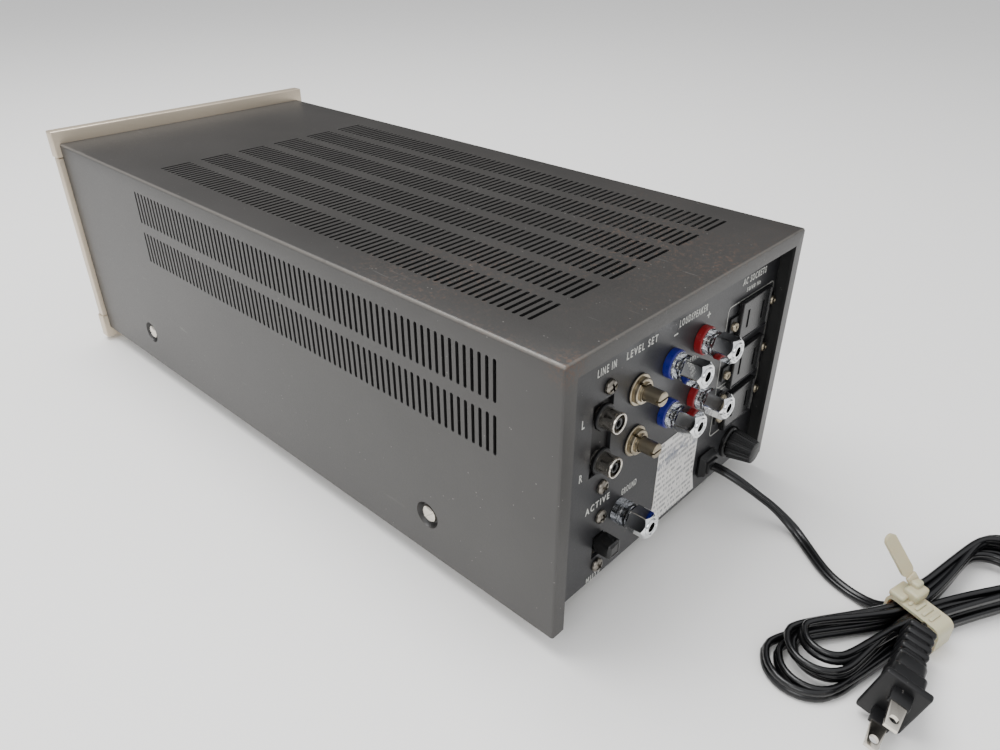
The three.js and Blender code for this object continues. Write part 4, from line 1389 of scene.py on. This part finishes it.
def label_sheet():
    """A rectangle with a wider strip along its foot."""
    bm = bmesh.new()
    bmesh.ops.create_grid(bm, x_segments=1, y_segments=2, size=0.5)
    bmesh.ops.rotate(bm, cent=(0, 0, 0), matrix=Matrix.Rotation(math.pi / 2, 3, "X"), verts=bm.verts)
    size = label_high - label_low
    bmesh.ops.scale(bm, vec=(size.x, 1, size.z), verts=bm.verts)
    for vert in bm.verts:
        if vert.co.z > -size.z / 4:
            vert.co.x *= 1 - 2 * strip_over / size.x
        if abs(vert.co.z) < size.z / 4:
            vert.co.z = strip_height - size.z / 2
    outer = verts_in(bmesh.ops.extrude_face_region(bm, geom=bm.faces[:]))
    bmesh.ops.translate(bm, vec=(0, 0.25 * mm, 0), verts=outer)
    return moved(bm, (label_middle.x, face + 0.05 * mm, label_middle.z))


finish_piece("label_sheet", label_sheet(), label_foil(), ["rating_label"])
print("label done")

# %% [markdown]
# ## Legends and outline boxes
# Screen-printed ink is a flat film, so legends are flat text turned into a mesh, and the thin
# boxes round the outlets are inset rings. Only plain words and signs for the functions are used.

# %% Legends
panel_turn = Matrix(((-1, 0, 0), (0, 0, 1), (0, 1, 0)))


def legend(text, x, z, width, height=3.2):
    """Flat text on the rear panel, centred on x and z, stretched to a width and a height."""
    curve = bpy.data.curves.new("legend", "FONT")
    curve.body = text
    curve.size = 4.4 * mm
    curve.space_character = 1.4
    curve.extrude = 0.03 * mm
    curve.offset = 0.07 * mm
    curve.resolution_u = 3
    bm = as_bmesh(shown("legend", curve))
    bpy.data.curves.remove(curve)
    across = [vert.co.x for vert in bm.verts]
    upright = [vert.co.y for vert in bm.verts]
    middle = Vector((max(across) + min(across), max(upright) + min(upright), 0)) / 2
    bmesh.ops.translate(bm, vec=-middle, verts=bm.verts)
    stretch = (width * mm / (max(across) - min(across)),
               height * mm / (max(upright) - min(upright)), 1)
    bmesh.ops.scale(bm, vec=stretch, verts=bm.verts)
    return moved(bm, (x, face + 0.04 * mm, z), panel_turn)


left_jack = on_panel("input_jack_left")
right_jack = on_panel("input_jack_right")
left_pot = on_panel("level_pot_left")
post_minus = on_panel("post_base_left_minus")
post_plus = on_panel("post_base_left_plus")
earth = on_panel("post_base_earth")
mode = on_panel("mode_screw_top")
mode_low = on_panel("mode_screw_bottom")
outlet = on_panel("mains_outlet_1")
high_line = top - 17.8 * mm
legends = joined(
    legend("LINE IN", left_jack.x - 0.4 * mm, high_line, 10.7),
    legend("L", left_jack.x + 11.4 * mm, left_jack.z + 1.9 * mm, 1.5, 3.6),
    legend("R", left_jack.x + 10.9 * mm, right_jack.z - 2.4 * mm, 1.8, 3.6),
    legend("LEVEL SET", left_pot.x, high_line, 19.4),
    legend("LOUDSPEAKER", post_plus.x + 8.5 * mm, high_line, 20.4),
    legend("\u2013", post_minus.x - 1.4 * mm, top - 21.6 * mm, 2.8, 0.6),
    legend("+", post_plus.x - 3.4 * mm, top - 21.9 * mm, 2.8, 2.8),
    legend("AC SOCKETS", outlet.x + 1.5 * mm, top - 16.8 * mm, 20),
    legend("50/60 Hz", outlet.x + 1.1 * mm, top - 21.4 * mm, 12, 2.0),
    legend("GROUND", earth.x - 6.9 * mm, earth.z + 7.0 * mm, 10.2),
    legend("ACTIVE", mode.x + 2 * mm, mode.z + 7.0 * mm, 15),
    legend("MUTE", mode.x + 1.2 * mm, mode_low.z - 5.9 * mm, 9),
    legend("FUSE", fuse_spot.x - 10 * mm, fuse_spot.z + 10.2 * mm, 5, 2.0),
)
finish_piece("panel_legends", legends, ink, smooth=60, normals=False)


def outline_box(right_x, left_x, low_z, high_z):
    """A thin rounded frame on the panel."""
    upright = Matrix.Rotation(-math.pi / 2, 4, "X")
    size = (abs(right_x - left_x), 1, high_z - low_z)
    frame_line = rounded_ring(upright, size, 2.2, 5, 0.45, (0, 0.06, 0))
    return moved(frame_line, ((right_x + left_x) / 2, face + 0.02 * mm, (low_z + high_z) / 2))


third_outlet = on_panel("mains_outlet_3")
boxes = joined(
    outline_box(outlet.x + 21 * mm, outlet.x - 19 * mm, outlet.z - 30.5 * mm, outlet.z + 9.2 * mm),
    outline_box(outlet.x + 20.3 * mm, outlet.x - 19.5 * mm, third_outlet.z - 10.2 * mm,
                third_outlet.z + 14.1 * mm),
)
finish_piece("outline_boxes", boxes, inlay, smooth=60)
print("legends done")

# %% [markdown]
# ## Inside the case
# Through the vents one sees only glints of the parts inside, so the nodes of the solid model
# stay, and get fitting finishes: plated steel for the chassis, dark iron for the transformer's
# core, shrink sleeve on the capacitors, black fins and brown circuit boards.

# %% Inner finishes
repaint(zinc, "chassis_pan", "front_subpanel", "mode_switch_body")
repaint(black_gloss, "power_switch")
repaint(lens_amber, "pilot_lens")
repaint(iron, "power_transformer")
repaint(sleeve, "filter_capacitor_left", "filter_capacitor_right")
repaint(sink_black, "heat_sink")
repaint(board, "driver_board_left", "driver_board_right")
print("inside done")
